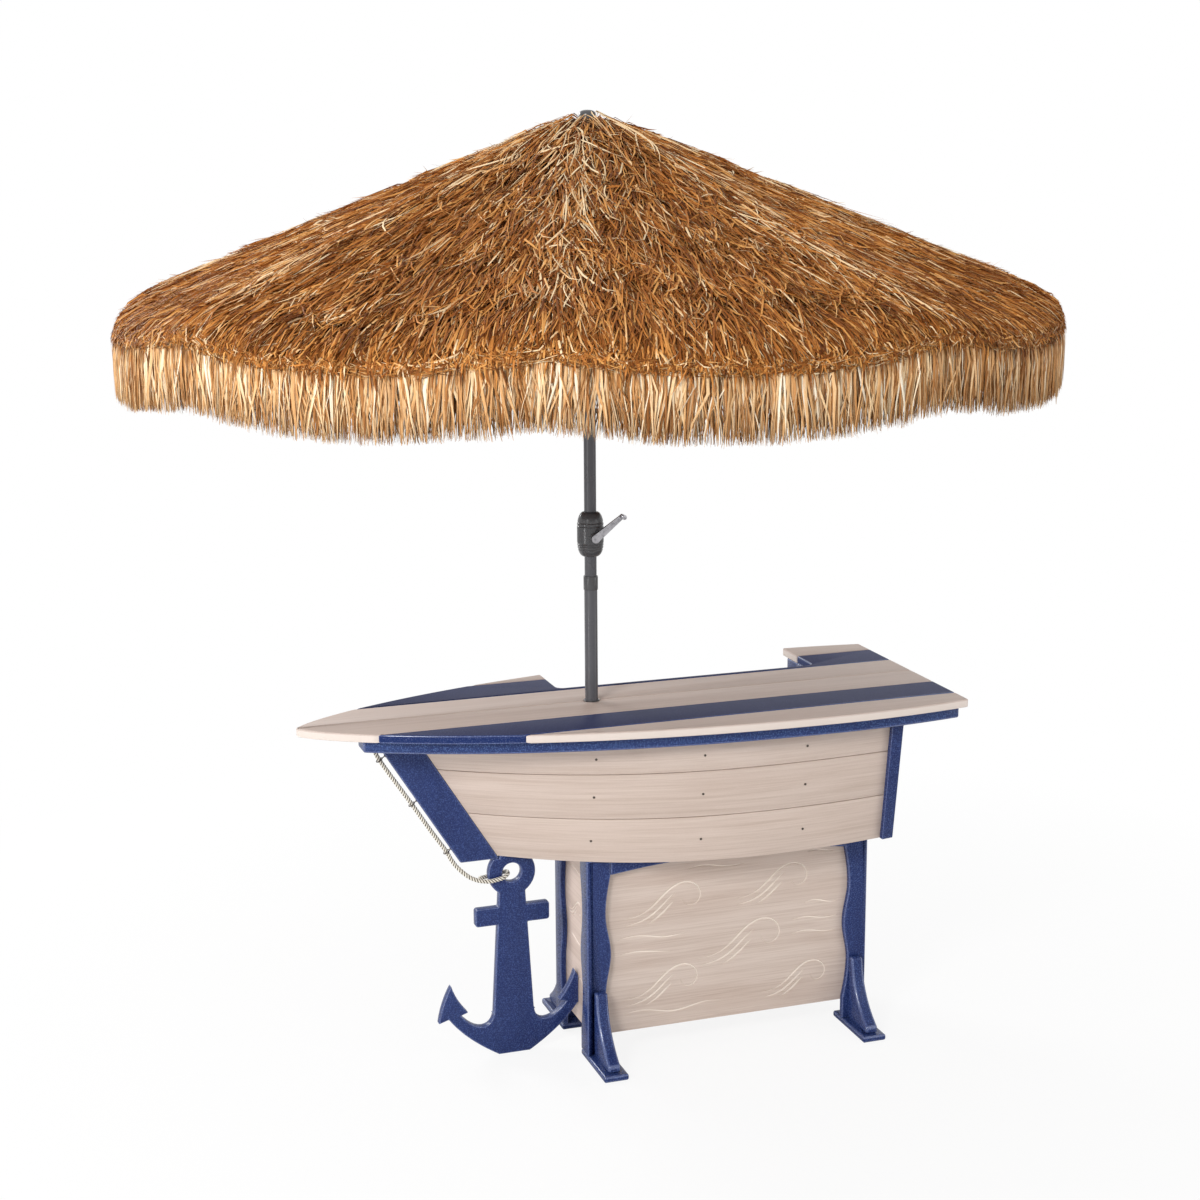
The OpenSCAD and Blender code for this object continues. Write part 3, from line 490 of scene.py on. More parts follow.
def eased(points: list[tuple[float, float]], radius: float) -> Array:
    """Rounds the corners of a profile: each inner point becomes a short curve drawn towards it."""
    pts = np.array(points, float)
    out = [pts[:1]]
    f = np.linspace(0, 1, 5)[:, None]
    for a, b, c in zip(pts[:-2], pts[1:-1], pts[2:]):
        ra = min(radius, np.linalg.norm(b - a) * 0.45)
        rc = min(radius, np.linalg.norm(c - b) * 0.45)
        p = b + (a - b) / np.linalg.norm(a - b) * ra
        q = b + (c - b) / np.linalg.norm(c - b) * rc
        out.append((1 - f) ** 2 * p + 2 * f * (1 - f) * b + f ** 2 * q)
    out.append(pts[-1:])
    return np.concatenate(out)


def eased_copy(node: str, name: str, radius: float, clamp: bool = False, edge: int = -1) -> Piece:
    """A copy of a frame node with its doubles merged and its sharp edges rounded.

    Args:
        node: The frame node.
        name: The piece's name.
        radius: Radius of the rounded edges, in metres.
        clamp: Whether the radius shrinks where edges are close.
        edge: The material slot that the rounded edges take, or -1 for that of the faces beside them.

    Returns:
        The object, which replaces the node.
    """
    bm = bmesh.new()
    bm.from_mesh(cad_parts[node].data)
    bmesh.ops.remove_doubles(bm, verts=bm.verts, dist=MERGE_GAP)
    bmesh.ops.dissolve_limit(bm, angle_limit=FLAT_ANGLE, verts=bm.verts, edges=bm.edges)
    mesh = bpy.data.meshes.new(name)
    bm.to_mesh(mesh)
    bm.free()
    mesh.polygons.foreach_set("use_smooth", np.ones(len(mesh.polygons), bool))
    obj = add_object(name, mesh)
    bevel = obj.modifiers.new("Rounded_edges", "BEVEL")
    bevel.width = radius
    bevel.segments = 3
    bevel.limit_method = "ANGLE"
    bevel.angle_limit = SHARP_ANGLE
    bevel.harden_normals = True
    bevel.use_clamp_overlap = clamp
    bevel.material = edge
    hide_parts(node)
    return obj


def coat(obj: Piece, *finishes: Finish) -> None:
    """Gives an object its finishes, one for each material slot."""
    obj.data.materials.clear()
    for finish in finishes:
        obj.data.materials.append(material_of(finish))


def dress(obj: Piece, body: str, finish: Finish, *more: Finish) -> None:
    """Gives a piece its finish, that of its rounded edges if there is one, and its body, and reports it."""
    coat(obj, finish, *more)
    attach(obj, body)
    LOG.info("%s rides on %s: %d points", obj.name, body, len(obj.data.vertices))


# Sub-assemblies


@dataclass
class Studio:
    """Camera, floor, backdrop light and lamps."""

    place: tuple[float, float, float] = (-1.88281, -5.6247, 2.66966)
    yaw: float = 0.32750
    pitch: float = 0.21603
    roll: float = -0.0063975
    lens: float = 62.675
    sensor: float = 36.0
    ambient: float = 0.57
    floor_half: float = 14.0
    floor_fade: float = 3.2
    floor_glow: float = 0.87
    lamps: tuple = (
        ("Key", (-4.3, -4.3, 4.2), (0, 0, 1.2), (1.6, 1.6), 214),
        ("Fill", (3.8, -5.0, 3.8), (0, 0, 1.2), (2.2, 2.2), 22),
        ("Back", (-2.6, 5.3, 4.2), (0, 0, 1.1), (2.4, 2.4), 190),
        ("Strip_left", (-4.8, -2.0, 1.0), (0, 0, 1.0), (0.45, 2.0), 26),
        ("Strip_right", (4.6, -3.2, 1.0), (0, 0, 1.0), (0.45, 2.0), 16))

    def camera(self) -> None:
        """Places the camera: its axes are right, up and backwards, turned by yaw, pitch and roll."""
        sy, cy = math.sin(self.yaw), math.cos(self.yaw)
        sp, cp = math.sin(self.pitch), math.cos(self.pitch)
        forward = Vector((sy * cp, cy * cp, -sp))
        level = Vector((cy, -sy, 0))
        rise = level.cross(forward)
        right = math.cos(self.roll) * level + math.sin(self.roll) * rise
        up = -math.sin(self.roll) * level + math.cos(self.roll) * rise
        data = bpy.data.cameras.new("Camera")
        data.sensor_width = self.sensor
        data.sensor_fit = "HORIZONTAL"
        data.lens = self.lens
        data.clip_end = 100
        camera = add_object("Camera", data)
        camera.matrix_world = Matrix((right, up, -forward)).transposed().to_4x4()
        camera.location = self.place
        bpy.context.scene.camera = camera

    @staticmethod
    def lamp(name: str, place: tuple, target: tuple, size: tuple[float, float], power: float) -> None:
        """A soft lamp of a width and height, at a place, that faces its target."""
        data = bpy.data.lights.new(name, "AREA")
        data.energy = power
        data.shape = "RECTANGLE"
        data.size, data.size_y = size
        obj = add_object(name, data)
        obj.location = place
        obj.rotation_euler = (Vector(target) - Vector(place)).to_track_quat("-Z", "Y").to_euler()

    def world(self) -> None:
        """A backdrop that the camera, gloss and glass see as white, with a dimmer light of its own."""
        s = Shader(bpy.data.worlds.new("Backdrop"))
        seen = s.rays("Camera")
        for kind in ("Glossy", "Transmission"):
            seen = seen.most(s.rays(kind))
        level = s.node("ShaderNodeMapRange", None, seen, None, None, self.ambient, 1.0)
        bpy.context.scene.world = s.finish(Color=(1, 1, 1, 1), Strength=level)

    def floor(self) -> None:
        """A wide pale floor that keeps the object's shadow and turns to the backdrop's white further out.

        The camera sees it glow, by floor_glow at the middle and wholly floor_fade metres out. The glow
        grows with the square of the distance.
        """
        corners = np.array([[-1, -1, 0], [1, -1, 0], [1, 1, 0], [-1, 1, 0]]) * self.floor_half
        floor = new_piece("Floor", corners, np.array([[0, 1, 2, 3]]), smooth=False)
        s = Shader.material("Floor_white")
        x, y = (s.along(axis) / self.floor_fade for axis in (Axis.X, Axis.Y))
        away = (x * x + y * y).least(1.0)
        glow = s.node("ShaderNodeEmission", None, (1, 1, 1, 1), 1.0)
        plain = Sock(s, s.surface.outputs[0])
        share = s.rays("Camera") * (away * (1 - self.floor_glow) + self.floor_glow)
        mixed = s.node("ShaderNodeMixShader", None, share, plain, glow)
        s.tree.links.new(mixed.socket, s.tree.nodes["Material Output"].inputs["Surface"])
        floor.data.materials.append(s.finish(Base_Color=(0.9, 0.9, 0.9, 1), Roughness=0.9))

    def build(self) -> None:
        """Builds the studio."""
        bpy.context.scene.view_settings.view_transform = "Standard"
        self.camera()
        self.world()
        self.floor()
        for lamp in self.lamps:
            self.lamp(*lamp)


@dataclass
class Rope:
    """The laid rope that runs down the stem and through the anchor's ring."""

    diameter: float = 12 * MM
    lay_length: float = 27 * MM
    strands: int = 3
    step: float = 1.6 * MM
    sides: int = 30
    route: tuple = (
        (-662, 0, 1001.3), (-652, 0, 975), (-640, 0, 950), (-612, 0, 905), (-580, 0, 856),
        (-549, 0, 808), (-524, 0, 768), (-499, 0, 728), (-474, 0, 690), (-449, 0, 652),
        (-438, -1, 630), (-424, -4, 608), (-406, -9, 588), (-386, -14, 571), (-364, -18, 560),
        (-344, -21, 555), (-324, -22, 553), (-304, -21, 555), (-285, -20.5, 559), (-270, -13, 565),
        (-266, 0, 568), (-270, 13, 565), (-285, 20.5, 559), (-304, 21, 555), (-322, 20, 554),
        (-338, 14, 554), (-350, 9, 556))

    def path(self) -> Array:
        """Points at even steps along the spline through the route.

        Between b and c, with a before them and d after, a point at the share f is half of
        2b + (c - a) f + (2a - 5b + 4c - d) f^2 + (3b - a - 3c + d) f^3.
        """
        p = np.array(self.route, float) * MM
        a = np.concatenate([p[:1], p[:-2]])
        b, c = p[:-1], p[1:]
        d = np.concatenate([p[2:], p[-1:]])
        f = np.linspace(0, 1, 40, endpoint=False)[None, :, None]
        a, b, c, d = (q[:, None, :] for q in (a, b, c, d))
        fine = 0.5 * (2 * b + (c - a) * f + (2 * a - 5 * b + 4 * c - d) * f ** 2
                      + (3 * b - a - 3 * c + d) * f ** 3)
        fine = np.concatenate([fine.reshape(-1, 3), p[-1:]])
        run = run_along(fine)
        even = np.linspace(0, run[-1], int(run[-1] / self.step) + 1)
        return np.stack([np.interp(even, run, fine[:, i]) for i in range(3)], -1)

    def build(self) -> None:
        """Builds the lobed and twisted tube.

        Its radius is diameter / 2 times 0.8 + 0.28 |cos|^0.6 of half the turn counted in strands. The
        lobes turn once in each lay length, and both ends taper.
        """
        path = self.path()
        way = headings(path)
        side = np.cross(way, np.array([0.0, 1.0, 0.0]) + 0.35 * np.abs(way[:, 1:2]) * np.array([1.0, 0, 0]))
        side /= np.linalg.norm(side, axis=1)[:, None]
        up = np.cross(way, side)
        run = run_along(path)
        t = np.arange(self.sides)[None] * TAU / self.sides
        twist = run[:, None] * TAU / self.lay_length
        lobe = np.abs(np.cos((t - twist) * self.strands / 2))
        r = self.diameter / 2 * (0.8 + 0.28 * lobe ** 0.6)
        taper = np.clip(np.minimum(run, run[-1] - run) / (0.35 * self.diameter), 0, 1)[:, None]
        r = r * np.sqrt(1 - (1 - taper) ** 2 * 0.9)
        points = path[:, None] + r[..., None] * (np.cos(t)[..., None] * side[:, None]
                                                 + np.sin(t)[..., None] * up[:, None])
        last = (len(path) - 1) * self.sides
        faces = np.concatenate([grid_faces(len(path), self.sides, wrap=True),
                                cap_faces(0, self.sides, True), cap_faces(last, self.sides, False)])
        rope = new_piece("Rope", points.reshape(-1, 3), faces)
        turn = ((t - twist) / TAU) % 1.0
        tracer = np.exp(-(((turn - 0.17) % 1.0 - 0.05) / 0.035) ** 2)
        # how far each point lies in a valley, for its painted shade
        set_attribute(rope, "valley_shade", np.clip(1.8 - 2.2 * lobe, 0, 1).ravel())
        set_attribute(rope, "tracer", 0.75 * tracer.ravel())
        bm = bmesh.new()
        bm.from_mesh(rope.data)
        bmesh.ops.recalc_face_normals(bm, faces=bm.faces)
        bm.to_mesh(rope.data)
        bm.free()
        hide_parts("rope")
        dress(rope, "bar", ROPE_YARN)


@dataclass
class Bar:
    """The boards of the top, the hull and the stand, by finish and radius of the edges."""

    boards: tuple = (
        (TOP_DRIFTWOOD, 4 * MM, ("top_plank_1", "top_plank_3", "top_plank_4", "top_plank_6")),
        (TOP_NAVY, 4 * MM, ("top_plank_2", "top_plank_5")),
        (HULL_WOOD, 2 * MM, ("hull_plank_1", "hull_plank_2", "hull_plank_3", "rear_planks")),
        (HULL_WOOD, 1.2 * MM, ("hull_floor", "cabinet_floor")),
        (NAVY_BAND, 6 * MM, ("gunwale_front",)),
        (NAVY_LEVEL, 5 * MM, ("gunwale_rear",)),
        (NAVY_LEVEL, 6 * MM, ("foot_plates",)),
        (NAVY_LEVEL, 4 * MM, ("top_battens", "aprons")),
        (NAVY_UPRIGHT, 7 * MM, ("knee_braces",)),
        (NAVY_UPRIGHT, 4 * MM, ("stem_board", "leg_boards")),
        (NAVY_UPRIGHT, 3.6 * MM, ("anchor",)),
        (NAVY_UPRIGHT, 2 * MM, ("stern_posts", "hull_frames")))

    def build(self) -> None:
        """Copies each board with rounded edges; on the navy ones they are shinier and take a lighter colour
        as a painted highlight.
        """
        for finish, radius, nodes in self.boards:
            navy = finish.slot == NAVY_EDGE_HIGHLIGHT.slot
            for node in nodes:
                board = eased_copy(node, "Board_" + node, radius, edge=1 if navy else -1)
                dress(board, "bar", *((finish, NAVY_EDGE_HIGHLIGHT) if navy else (finish,)))


@dataclass
class Carving:
    """Thin boards of the cabinet with running waves cut into them as V-shaped grooves.

    A scroll is its start across and up the board, and its length; a swell also has its height and its
    count of waves. They are in millimetres.
    """

    width: float = 6.6 * MM
    depth: float = 3.8 * MM
    thick: float = 12.5 * MM
    rise: float = 551 * MM
    foot: float = 75 * MM
    left: float = -52 * MM
    right: float = 812 * MM
    face: float = 136 * MM
    scrolls: tuple = ((80, 350, 400), (440, 372, 380), (84, 96, 380), (318, 196, 430), (530, 60, 340))
    swells: tuple = ((78, 288, 220, 7, 1.0), (680, 330, 116, 6, 0.9), (96, 50, 330, 8, 1.5),
                     (84, 240, 170, 5, 0.8), (640, 280, 156, 5, 1.0), (300, 484, 190, 6, 1.0),
                     (690, 492, 90, 4, 0.8), (640, 236, 150, 5, 0.9))
    side_scrolls: tuple = ((52, 330, 190), (60, 90, 200))
    side_swells: tuple = ((60, 250, 120, 5, 0.9), (70, 470, 110, 4, 0.9))

    @staticmethod
    def scroll(u0: float, v0: float, length: float) -> Array:
        """A wave that rises and curls over.

        Its heading eases up to 0.75 radians at the crest, and turns back by 13.5 times the square of
        the share travelled since.
        """
        crest, steps = 0.36, 43
        s = np.linspace(0, 1, steps + 1)
        up = np.clip(s / crest, 0, 1)
        way = 0.75 * up * up * (3 - 2 * up) - 13.5 * np.clip(s - crest, 0, 1) ** 2
        step = length / steps
        return np.stack([u0 + np.cumsum(np.cos(way)) * step, v0 + np.cumsum(np.sin(way)) * step], -1)

    @staticmethod
    def beside(line: Array, gap: float, first: float, last: float) -> Array:
        """Part of a line, moved square to itself by a gap."""
        way = headings(line)
        moved = line + gap * np.stack([-way[:, 1], way[:, 0]], -1)
        return moved[int(first * len(line)):int(last * len(line))]

    @staticmethod
    def swell(u0: float, v0: float, length: float, height: float, waves: float) -> Array:
        """A shallow sine wave."""
        s = np.linspace(0, 1, 30)
        return np.stack([u0 + length * s, v0 + height * np.sin(s * waves * TAU)], -1)

    def lines(self, scrolls: tuple, swells: tuple) -> list[Array]:
        """Middle lines of the cuts, in metres across and up the board."""
        cuts = []
        for u0, v0, length in scrolls:
            wave = self.scroll(u0, v0, length)
            cuts += [wave, self.beside(wave, -0.05 * length, 0.04, 0.5),
                     self.beside(wave, -0.095 * length, 0.16, 0.44)]
        cuts += [self.swell(*swell) for swell in swells]
        return [cut * MM for cut in cuts]

    def board(self, name: str, corner: tuple, across: tuple, length: float, cuts: list[Array]) -> Piece:
        """One board whose outer face is cut.

        Each cut is a band about its middle line. The band's half width and depth grow and fall as
        the square root of a sine from end to end, and the middle line lies at the bottom of the V.
        The outer face is triangulated with the bands' edges and middle lines kept.

        Args:
            name: The piece's name.
            corner: The outer face's lower corner from which the cuts are measured.
            across: The way across the face, so that across x up points outwards.
            length: The face's length across.
            cuts: Middle lines of the cuts.

        Returns:
            The board.
        """
        flat = [np.array([[0, 0], [length, 0], [length, self.rise], [0, self.rise]])]
        sunk = [np.zeros(4)]
        edges = [np.array([[0, 1], [1, 2], [2, 3], [3, 0]])]
        start = 4
        for cut in cuts:
            n = len(cut)
            way = headings(cut)
            swell = np.sqrt(np.sin(np.linspace(0, math.pi, n)[1:-1]))
            off = np.stack([-way[1:-1, 1], way[1:-1, 0]], -1) * (self.width / 2 * swell)[:, None]
            flat += [cut, cut[1:-1] + off, cut[1:-1] - off]
            sunk += [np.concatenate([[0], swell, [0]]), np.zeros(2 * n - 4)]
            middle = start + np.arange(n)
            for side in (start + n, start + 2 * n - 2):
                ring = np.concatenate([[middle[0]], side + np.arange(n - 2), [middle[-1]]])
                edges.append(np.stack([ring[:-1], ring[1:]], -1))
            edges.append(np.stack([middle[:-1], middle[1:]], -1))
            start += 3 * n - 4
        flat, sunk, edges = np.concatenate(flat), np.concatenate(sunk), np.concatenate(edges)
        found = delaunay_2d_cdt([Vector(p) for p in flat.tolist()], edges.tolist(), [], 0, 1e-6)
        places, tris = (np.array([tuple(row) for row in found[i]]) for i in (0, 2))
        sunk = sunk[np.array([o[0] if len(o) else 0 for o in found[3]])]
        a = np.array(across, float)
        up = np.array([0.0, 0.0, 1.0])
        out = np.cross(a, up)
        face = np.array(corner) + places[:, :1] * a + places[:, 1:] * up - (sunk * self.depth)[:, None] * out
        corners = [int(np.argmin(np.linalg.norm(places - p, axis=1))) for p in flat[:4]]
        back = face[corners] - self.thick * out
        n = len(face)
        walls = [[corners[i], n + i, n + (i + 1) % 4, corners[(i + 1) % 4]] for i in range(4)]
        faces = np.concatenate([np.concatenate([tris, tris[:, -1:]], 1), walls, [[n + 3, n + 2, n + 1, n]]])
        piece = new_piece(name, np.concatenate([face, back]), faces, smooth=False)
        set_attribute(piece, "cut", np.concatenate([sunk, np.zeros(4)]))
        return piece

    def build(self) -> None:
        """Builds the front panel and the two side panels."""
        front = self.board("Panel_front", (self.left, -self.face, self.foot), (1, 0, 0),
                           self.right - self.left, self.lines(self.scrolls, self.swells))
        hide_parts("front_panel")
        dress(front, "bar", PANEL_WOOD)
        cuts = self.lines(self.side_scrolls, self.side_swells)
        depth = 2 * self.face - self.thick
        bow = self.board("Panel_bow", (self.left, self.face, self.foot), (0, -1, 0), depth, cuts)
        stern = self.board("Panel_stern", (self.right, self.face - depth, self.foot), (0, 1, 0), depth, cuts)
        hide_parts("side_panels")
        for piece in (bow, stern):
            dress(piece, "bar", PANEL_SIDE)


@dataclass
class Strips:
    """A mat of strips: points, faces, and a tone and a depth for each point; the depth sets how strongly
    painted shade darkens the point.
    """

    points: Array
    faces: Array
    tone: Array
    depth: Array
    finish: int = 0


@dataclass
class Scatter:
    """Seeded random numbers, as a column with one for each strip."""

    rng: np.random.Generator
    count: int

    def spread(self, deviation: float) -> Array:
        """Normal numbers about 0."""
        return self.rng.normal(0, deviation, self.count)[:, None]

    def between(self, low: float, high: float) -> Array:
        """Even numbers between two bounds."""
        return self.rng.uniform(low, high, self.count)[:, None]

    def share(self) -> Array:
        """Even numbers from 0 to 1."""
        return self.rng.random(self.count)[:, None]

    def beta(self, a: float, b: float) -> Array:
        """Beta numbers, from 0 to 1."""
        return self.rng.beta(a, b, self.count)[:, None]


def along(*values: float) -> Array:
    """Numbers for the rows of points along a strip, as one row."""
    return np.array([values], float)


@dataclass
class Canopy:
    """Eight thatch sectors: a stepped backing, courses of dry strips, and a fringe at the rim.

    A place is given by its distance r from the mast and its azimuth, or its turn from the sector's
    ridge. Arrays of places hold one strip in each row, and its points from root to tip.
    """

    rim: float = 1310 * MM
    inner: float = 26 * MM
    sides: int = 8
    pivot_z: float = 2714 * MM
    pivot_r: float = 35 * MM
    rib_h: float = 18 * MM
    slope: float = math.radians(21.5)
    courses: int = 5
    thick: float = 9 * MM
    step: float = 4.2 * MM
    eave: float = 95 * MM
    droop: float = 20 * MM
    hang: float = 200 * MM
    shag: int = 10400
    eave_strips: int = 620
    loose: int = 110
    tangles: int = 3
    tangle_strands: int = 46
    fringe: int = 2350
    seed: int = 4100
    creases: tuple = ((-1, 0.0), (0, 0.4), (1, 0.0))
    laid_length: tuple = (90 * MM, 230 * MM)
    laid_half: tuple = (1.3 * MM, 2.9 * MM)
    eave_length: tuple = (20 * MM, 130 * MM)
    eave_half: tuple = (1.3 * MM, 3 * MM)
    strewn_length: tuple = (80 * MM, 300 * MM)
    tangle_length: tuple = (30 * MM, 85 * MM)
    strand_half: tuple = (1.2 * MM, 2.8 * MM)
    strand_lift: tuple = (6 * MM, 14 * MM)
    near_middle: float = 20 * MM
    keep: float = 0.2

    def __post_init__(self) -> None:
        """Works out the fall of a side from the slope of the ribs at its two ridges."""
        self.half = math.pi / self.sides
        self.fall = math.tan(self.slope) / math.cos(self.half)
        self.under0 = (self.pivot_z + self.pivot_r * math.tan(self.slope)
                       + self.rib_h / 2 / math.cos(self.slope) + 1.5 * MM)

    def within(self, turn: Array, share: float = 1.0) -> Array:
        """Keeps turns inside a share of the sector."""
        return np.clip(turn, -self.half * share, self.half * share)

    def under(self, r: Array, turn: Array) -> Array:
        """Height of the underside: it falls with the distance square to a side, r cos(half - |turn|)."""
        return self.under0 - self.fall * r * np.cos(self.half - np.abs(turn))

    def sag(self, r: Array) -> Array:
        """How far the mat bends down near the rim: droop times the square of the way into the eave."""
        return self.droop * np.clip((r - self.rim + self.eave) / self.eave, 0, 1.2) ** 2

    def course(self, r: Array, azimuth: Array) -> Array:
        """How many courses lie within a place; their ends wander round the mast as a sum of three sines."""
        wander = 0.3 * np.sin(3 * azimuth + 0.4) + 0.24 * np.sin(7 * azimuth + 1.9)
        wander = wander + 0.16 * np.sin(16 * azimuth)
        share = np.clip((r - self.inner) / (self.rim - self.inner), 0, 0.9999)
        return share * self.courses + wander * np.minimum(share * 6, 1) * np.minimum((1 - share) * 6, 1)

    def rise(self, r: Array, azimuth: Array) -> Array:
        """Height of the mat over its underside: it grows along each course, then drops."""
        course = self.course(r, azimuth)
        return self.thick + self.step * (course - np.floor(course))

    @staticmethod
    def comb(r: Array, azimuth: Array) -> Array:
        """The sway that neighbouring strips share, about -1 to 1: sines of the place across and along."""
        x, y = r * np.cos(azimuth), r * np.sin(azimuth)
        return (0.45 * np.sin(31 * x + 17 * y + 2.0 * np.sin(9 * y)) + 0.35 * np.sin(23 * x - 41 * y + 1.0)
                + 0.3 * np.sin(74 * x + 66 * y + 1.5 * np.sin(20 * x)))

    @staticmethod
    def gaps(r: Array, azimuth: Array) -> Array:
        """How far a place lies in the gaps between tufts, 0 to 1: the product of two crossed waves."""
        x, y = r * np.cos(azimuth), r * np.sin(azimuth)
        first = np.sin(125 * x + 50 * y + 2.2 * np.sin(37 * y))
        return np.clip(1.3 * (first * np.sin(110 * y - 60 * x + 2.0 * np.sin(41 * x))), 0, 1)

    def creased(self, azimuth: float, lines: list[tuple], tone: Array, depth: Array,
                finish: int = 0) -> Strips:
        """Joins three lines along each strip into a ribbon, whose middle line is raised as a crease.

        Args:
            azimuth: Where the sector's ridge lies.
            lines: Distance, turn and height of the points of each line.
            tone, depth: How pale each strip is, and how much painted shade darkens it for lying low in the
                mat.
            finish: Which of the sector's materials it takes.

        Returns:
            The ribbons.
        """
        points = np.stack([round_axis(r, azimuth + self.within(turn), z) for r, turn, z in lines], 2)
        count, rows = points.shape[:2]
        faces = grid_faces(rows, 3) + 3 * rows * np.arange(count)[:, None, None]
        tones, depths = (np.repeat(np.broadcast_to(part, (count, rows)), 3) for part in (tone, depth))
        return Strips(points.reshape(-1, 3), faces.reshape(-1, 4), tones, depths, finish)

    def ribbons(self, azimuth: float, r: Array, turn: Array, z: Array, heading: Array,
                width: Array, roll: Array, tone: Array, depth: Array) -> Strips:
        """Ribbons that lie along their middle lines.

        Args:
            azimuth: Where the sector's ridge lies.
            r, turn, z: Distances, turns and heights of the middle lines' points.
            heading: The way each strip runs, as an angle from straight out.
            width, roll: Half its width, and how far it is rolled about its length.
            tone, depth: How pale it is, and how much painted shade darkens it for lying low in the mat.

        Returns:
            The ribbons.
        """
        lines = []
        for j, crease in self.creases:
            side = j * width * np.cos(roll)
            aside = side * np.cos(heading) / np.maximum(r, self.near_middle)
            lines.append((r - side * np.sin(heading), turn + aside,
                          z + j * width * np.sin(roll) + crease * width))
        return self.creased(azimuth, lines, tone, depth)

    def backing(self, azimuth: float) -> Strips:
        """The closed slab under the strips of one sector, dark with painted shade where it shows between
        them.

        Rows run out from the middle and columns run across the sector. The upper face lies at
        under + rise - sag and the lower at under, and both end a little inside the rim.
        """
        rows, turns = np.linspace(0, 1, 34)[:, None], np.linspace(-self.half, self.half, 17)[None]
        r = self.inner + 4 * MM + rows * (self.rim - 30 * MM - self.inner) + 0 * turns
        a = azimuth + 0.9985 * turns
        base, sag = self.under(r, turns), self.sag(r)
        top = round_axis(r, a, base + self.rise(r, a) - 5 * MM - sag * 0.6)
        low = round_axis(r, a, base + 0.4 * MM - sag * 0.3)
        n, m = r.shape
        points = np.concatenate([top.reshape(-1, 3), low.reshape(-1, 3)])
        grid = np.arange(n * m).reshape(n, m)
        rim = np.concatenate([grid[0, :], grid[1:, -1], grid[-1, -2::-1], grid[-2:0:-1, 0]])
        nxt = np.roll(rim, -1)
        wall = np.stack([rim, rim + n * m, nxt + n * m, nxt], -1)
        faces = np.concatenate([grid_faces(n, m), grid_faces(n, m, start=n * m)[:, ::-1], wall])
        # dark tone and depth: painted shade under the strips
        return Strips(points, faces, np.full(len(points), 0.22), np.full(len(points), 0.55))

    def laid(self, draw: Scatter, azimuth: float) -> Strips:
        """Strips of the courses: each rises from its root, then droops on to the ones below it.

        The height over the backing is a skewed hump along the strip. The strips fan out from the mast,
        neighbours sway together, and each one bends sideways on its own. One that would pass its
        course's end is drawn back, and one that would pass the rim bends down over it.
        """
        r0 = self.rim * np.sqrt(draw.between((self.inner / self.rim) ** 2, 0.985))
        turn0 = draw.between(-self.half, self.half)
        place = azimuth + turn0
        length = draw.between(*self.laid_length) * (0.55 + 0.45 * np.minimum(r0 / (500 * MM), 1))
        t = along(0, 0.3, 0.68, 1)
        sway = self.comb(r0, place)
        heading = 0.26 * sway + draw.spread(0.1) + draw.spread(0.2) * t
        r = r0 + length * t * np.cos(heading)
        row = np.floor(self.course(r0, place))
        over = np.maximum(self.course(r, place) - row - draw.between(0.9, 1.25), 0)
        r = r - over * 0.5 * (self.rim - self.inner) / self.courses
        cap = draw.between(5, 26) * MM
        past = np.maximum(r - self.rim + 4 * MM, 0)
        r = r - past
        past = cap * (1 - np.exp(-past / cap))
        r = r + 0.3 * past
        turn = self.within(turn0 + length * t * np.sin(heading) / np.maximum(r, 50 * MM))
        level = draw.share() * (1 - 0.5 * self.gaps(r0, place))
        hump = (3 * MM + 21 * MM * level) * along(0.1, 1, 0.75, 0.1)
        share = np.clip(self.course(r, azimuth + turn) - row, 0, 1.05)
        curl = np.abs(draw.spread(8 * MM)) * along(0, 0.1, 0.5, 1.6)
        z = (self.under(r, turn) + self.thick + self.step * share - 6 * MM + hump + curl - self.sag(r)
             - 0.9 * past)
        width = draw.between(*self.laid_half) * along(0.5, 1, 0.85, 0.1)
        roll = draw.spread(0.6) + draw.spread(0.45) * t
        tone = np.clip(draw.beta(1.2, 1.65) + 0.06 * sway + along(-0.22, -0.03, 0.07, 0.16), 0, 1)
        # painted shade: strips lying low or in the gaps between tufts, and most of all their roots, are
        # darkened
        depth = np.clip(1.12 - 1.5 * level, 0, 0.95) * along(1, 0.75, 0.5, 0.35) + along(0.25, 0.05, 0, 0)
        return self.ribbons(azimuth, r, turn, z, heading, width, roll, tone, np.clip(depth, 0, 1))

    def over_eave(self, draw: Scatter, azimuth: float) -> Strips:
        """Strips of the last course that bend over the rim and end in front of the fringe's top."""
        r0 = self.rim - draw.between(*self.eave_length)
        turn0 = draw.between(-self.half, self.half)
        t = along(0, 0.35, 0.65, 0.85, 1)
        reach = self.rim + draw.between(-8, 9) * MM
        r = r0 + (reach - r0) * np.sin(np.minimum(t * 1.1, 1) * math.pi / 2)
        fall = (4 * MM + 62 * MM * draw.share() ** 2.4) * along(0, 0.02, 0.16, 0.55, 1)
        heading = 0.2 * self.comb(r0, azimuth + turn0) + draw.spread(0.2)
        turn = self.within(turn0 + (r - r0 + fall) * np.tan(heading) / self.rim)
        level = draw.share()
        z = (self.under(r, turn) + self.thick + self.step * 0.9 + 13 * MM * level * (1 - t)
             - 2 * MM - self.sag(r) - fall)
        width = draw.between(*self.eave_half) * along(0.5, 1, 1, 0.8, 0.12)
        # the last argument is painted shade, darker on the lower strips
        return self.ribbons(azimuth, r, turn, z, heading, width, draw.spread(0.5), draw.beta(1.6, 1.9),
                            np.clip(0.8 - 1.1 * level, 0, 1))

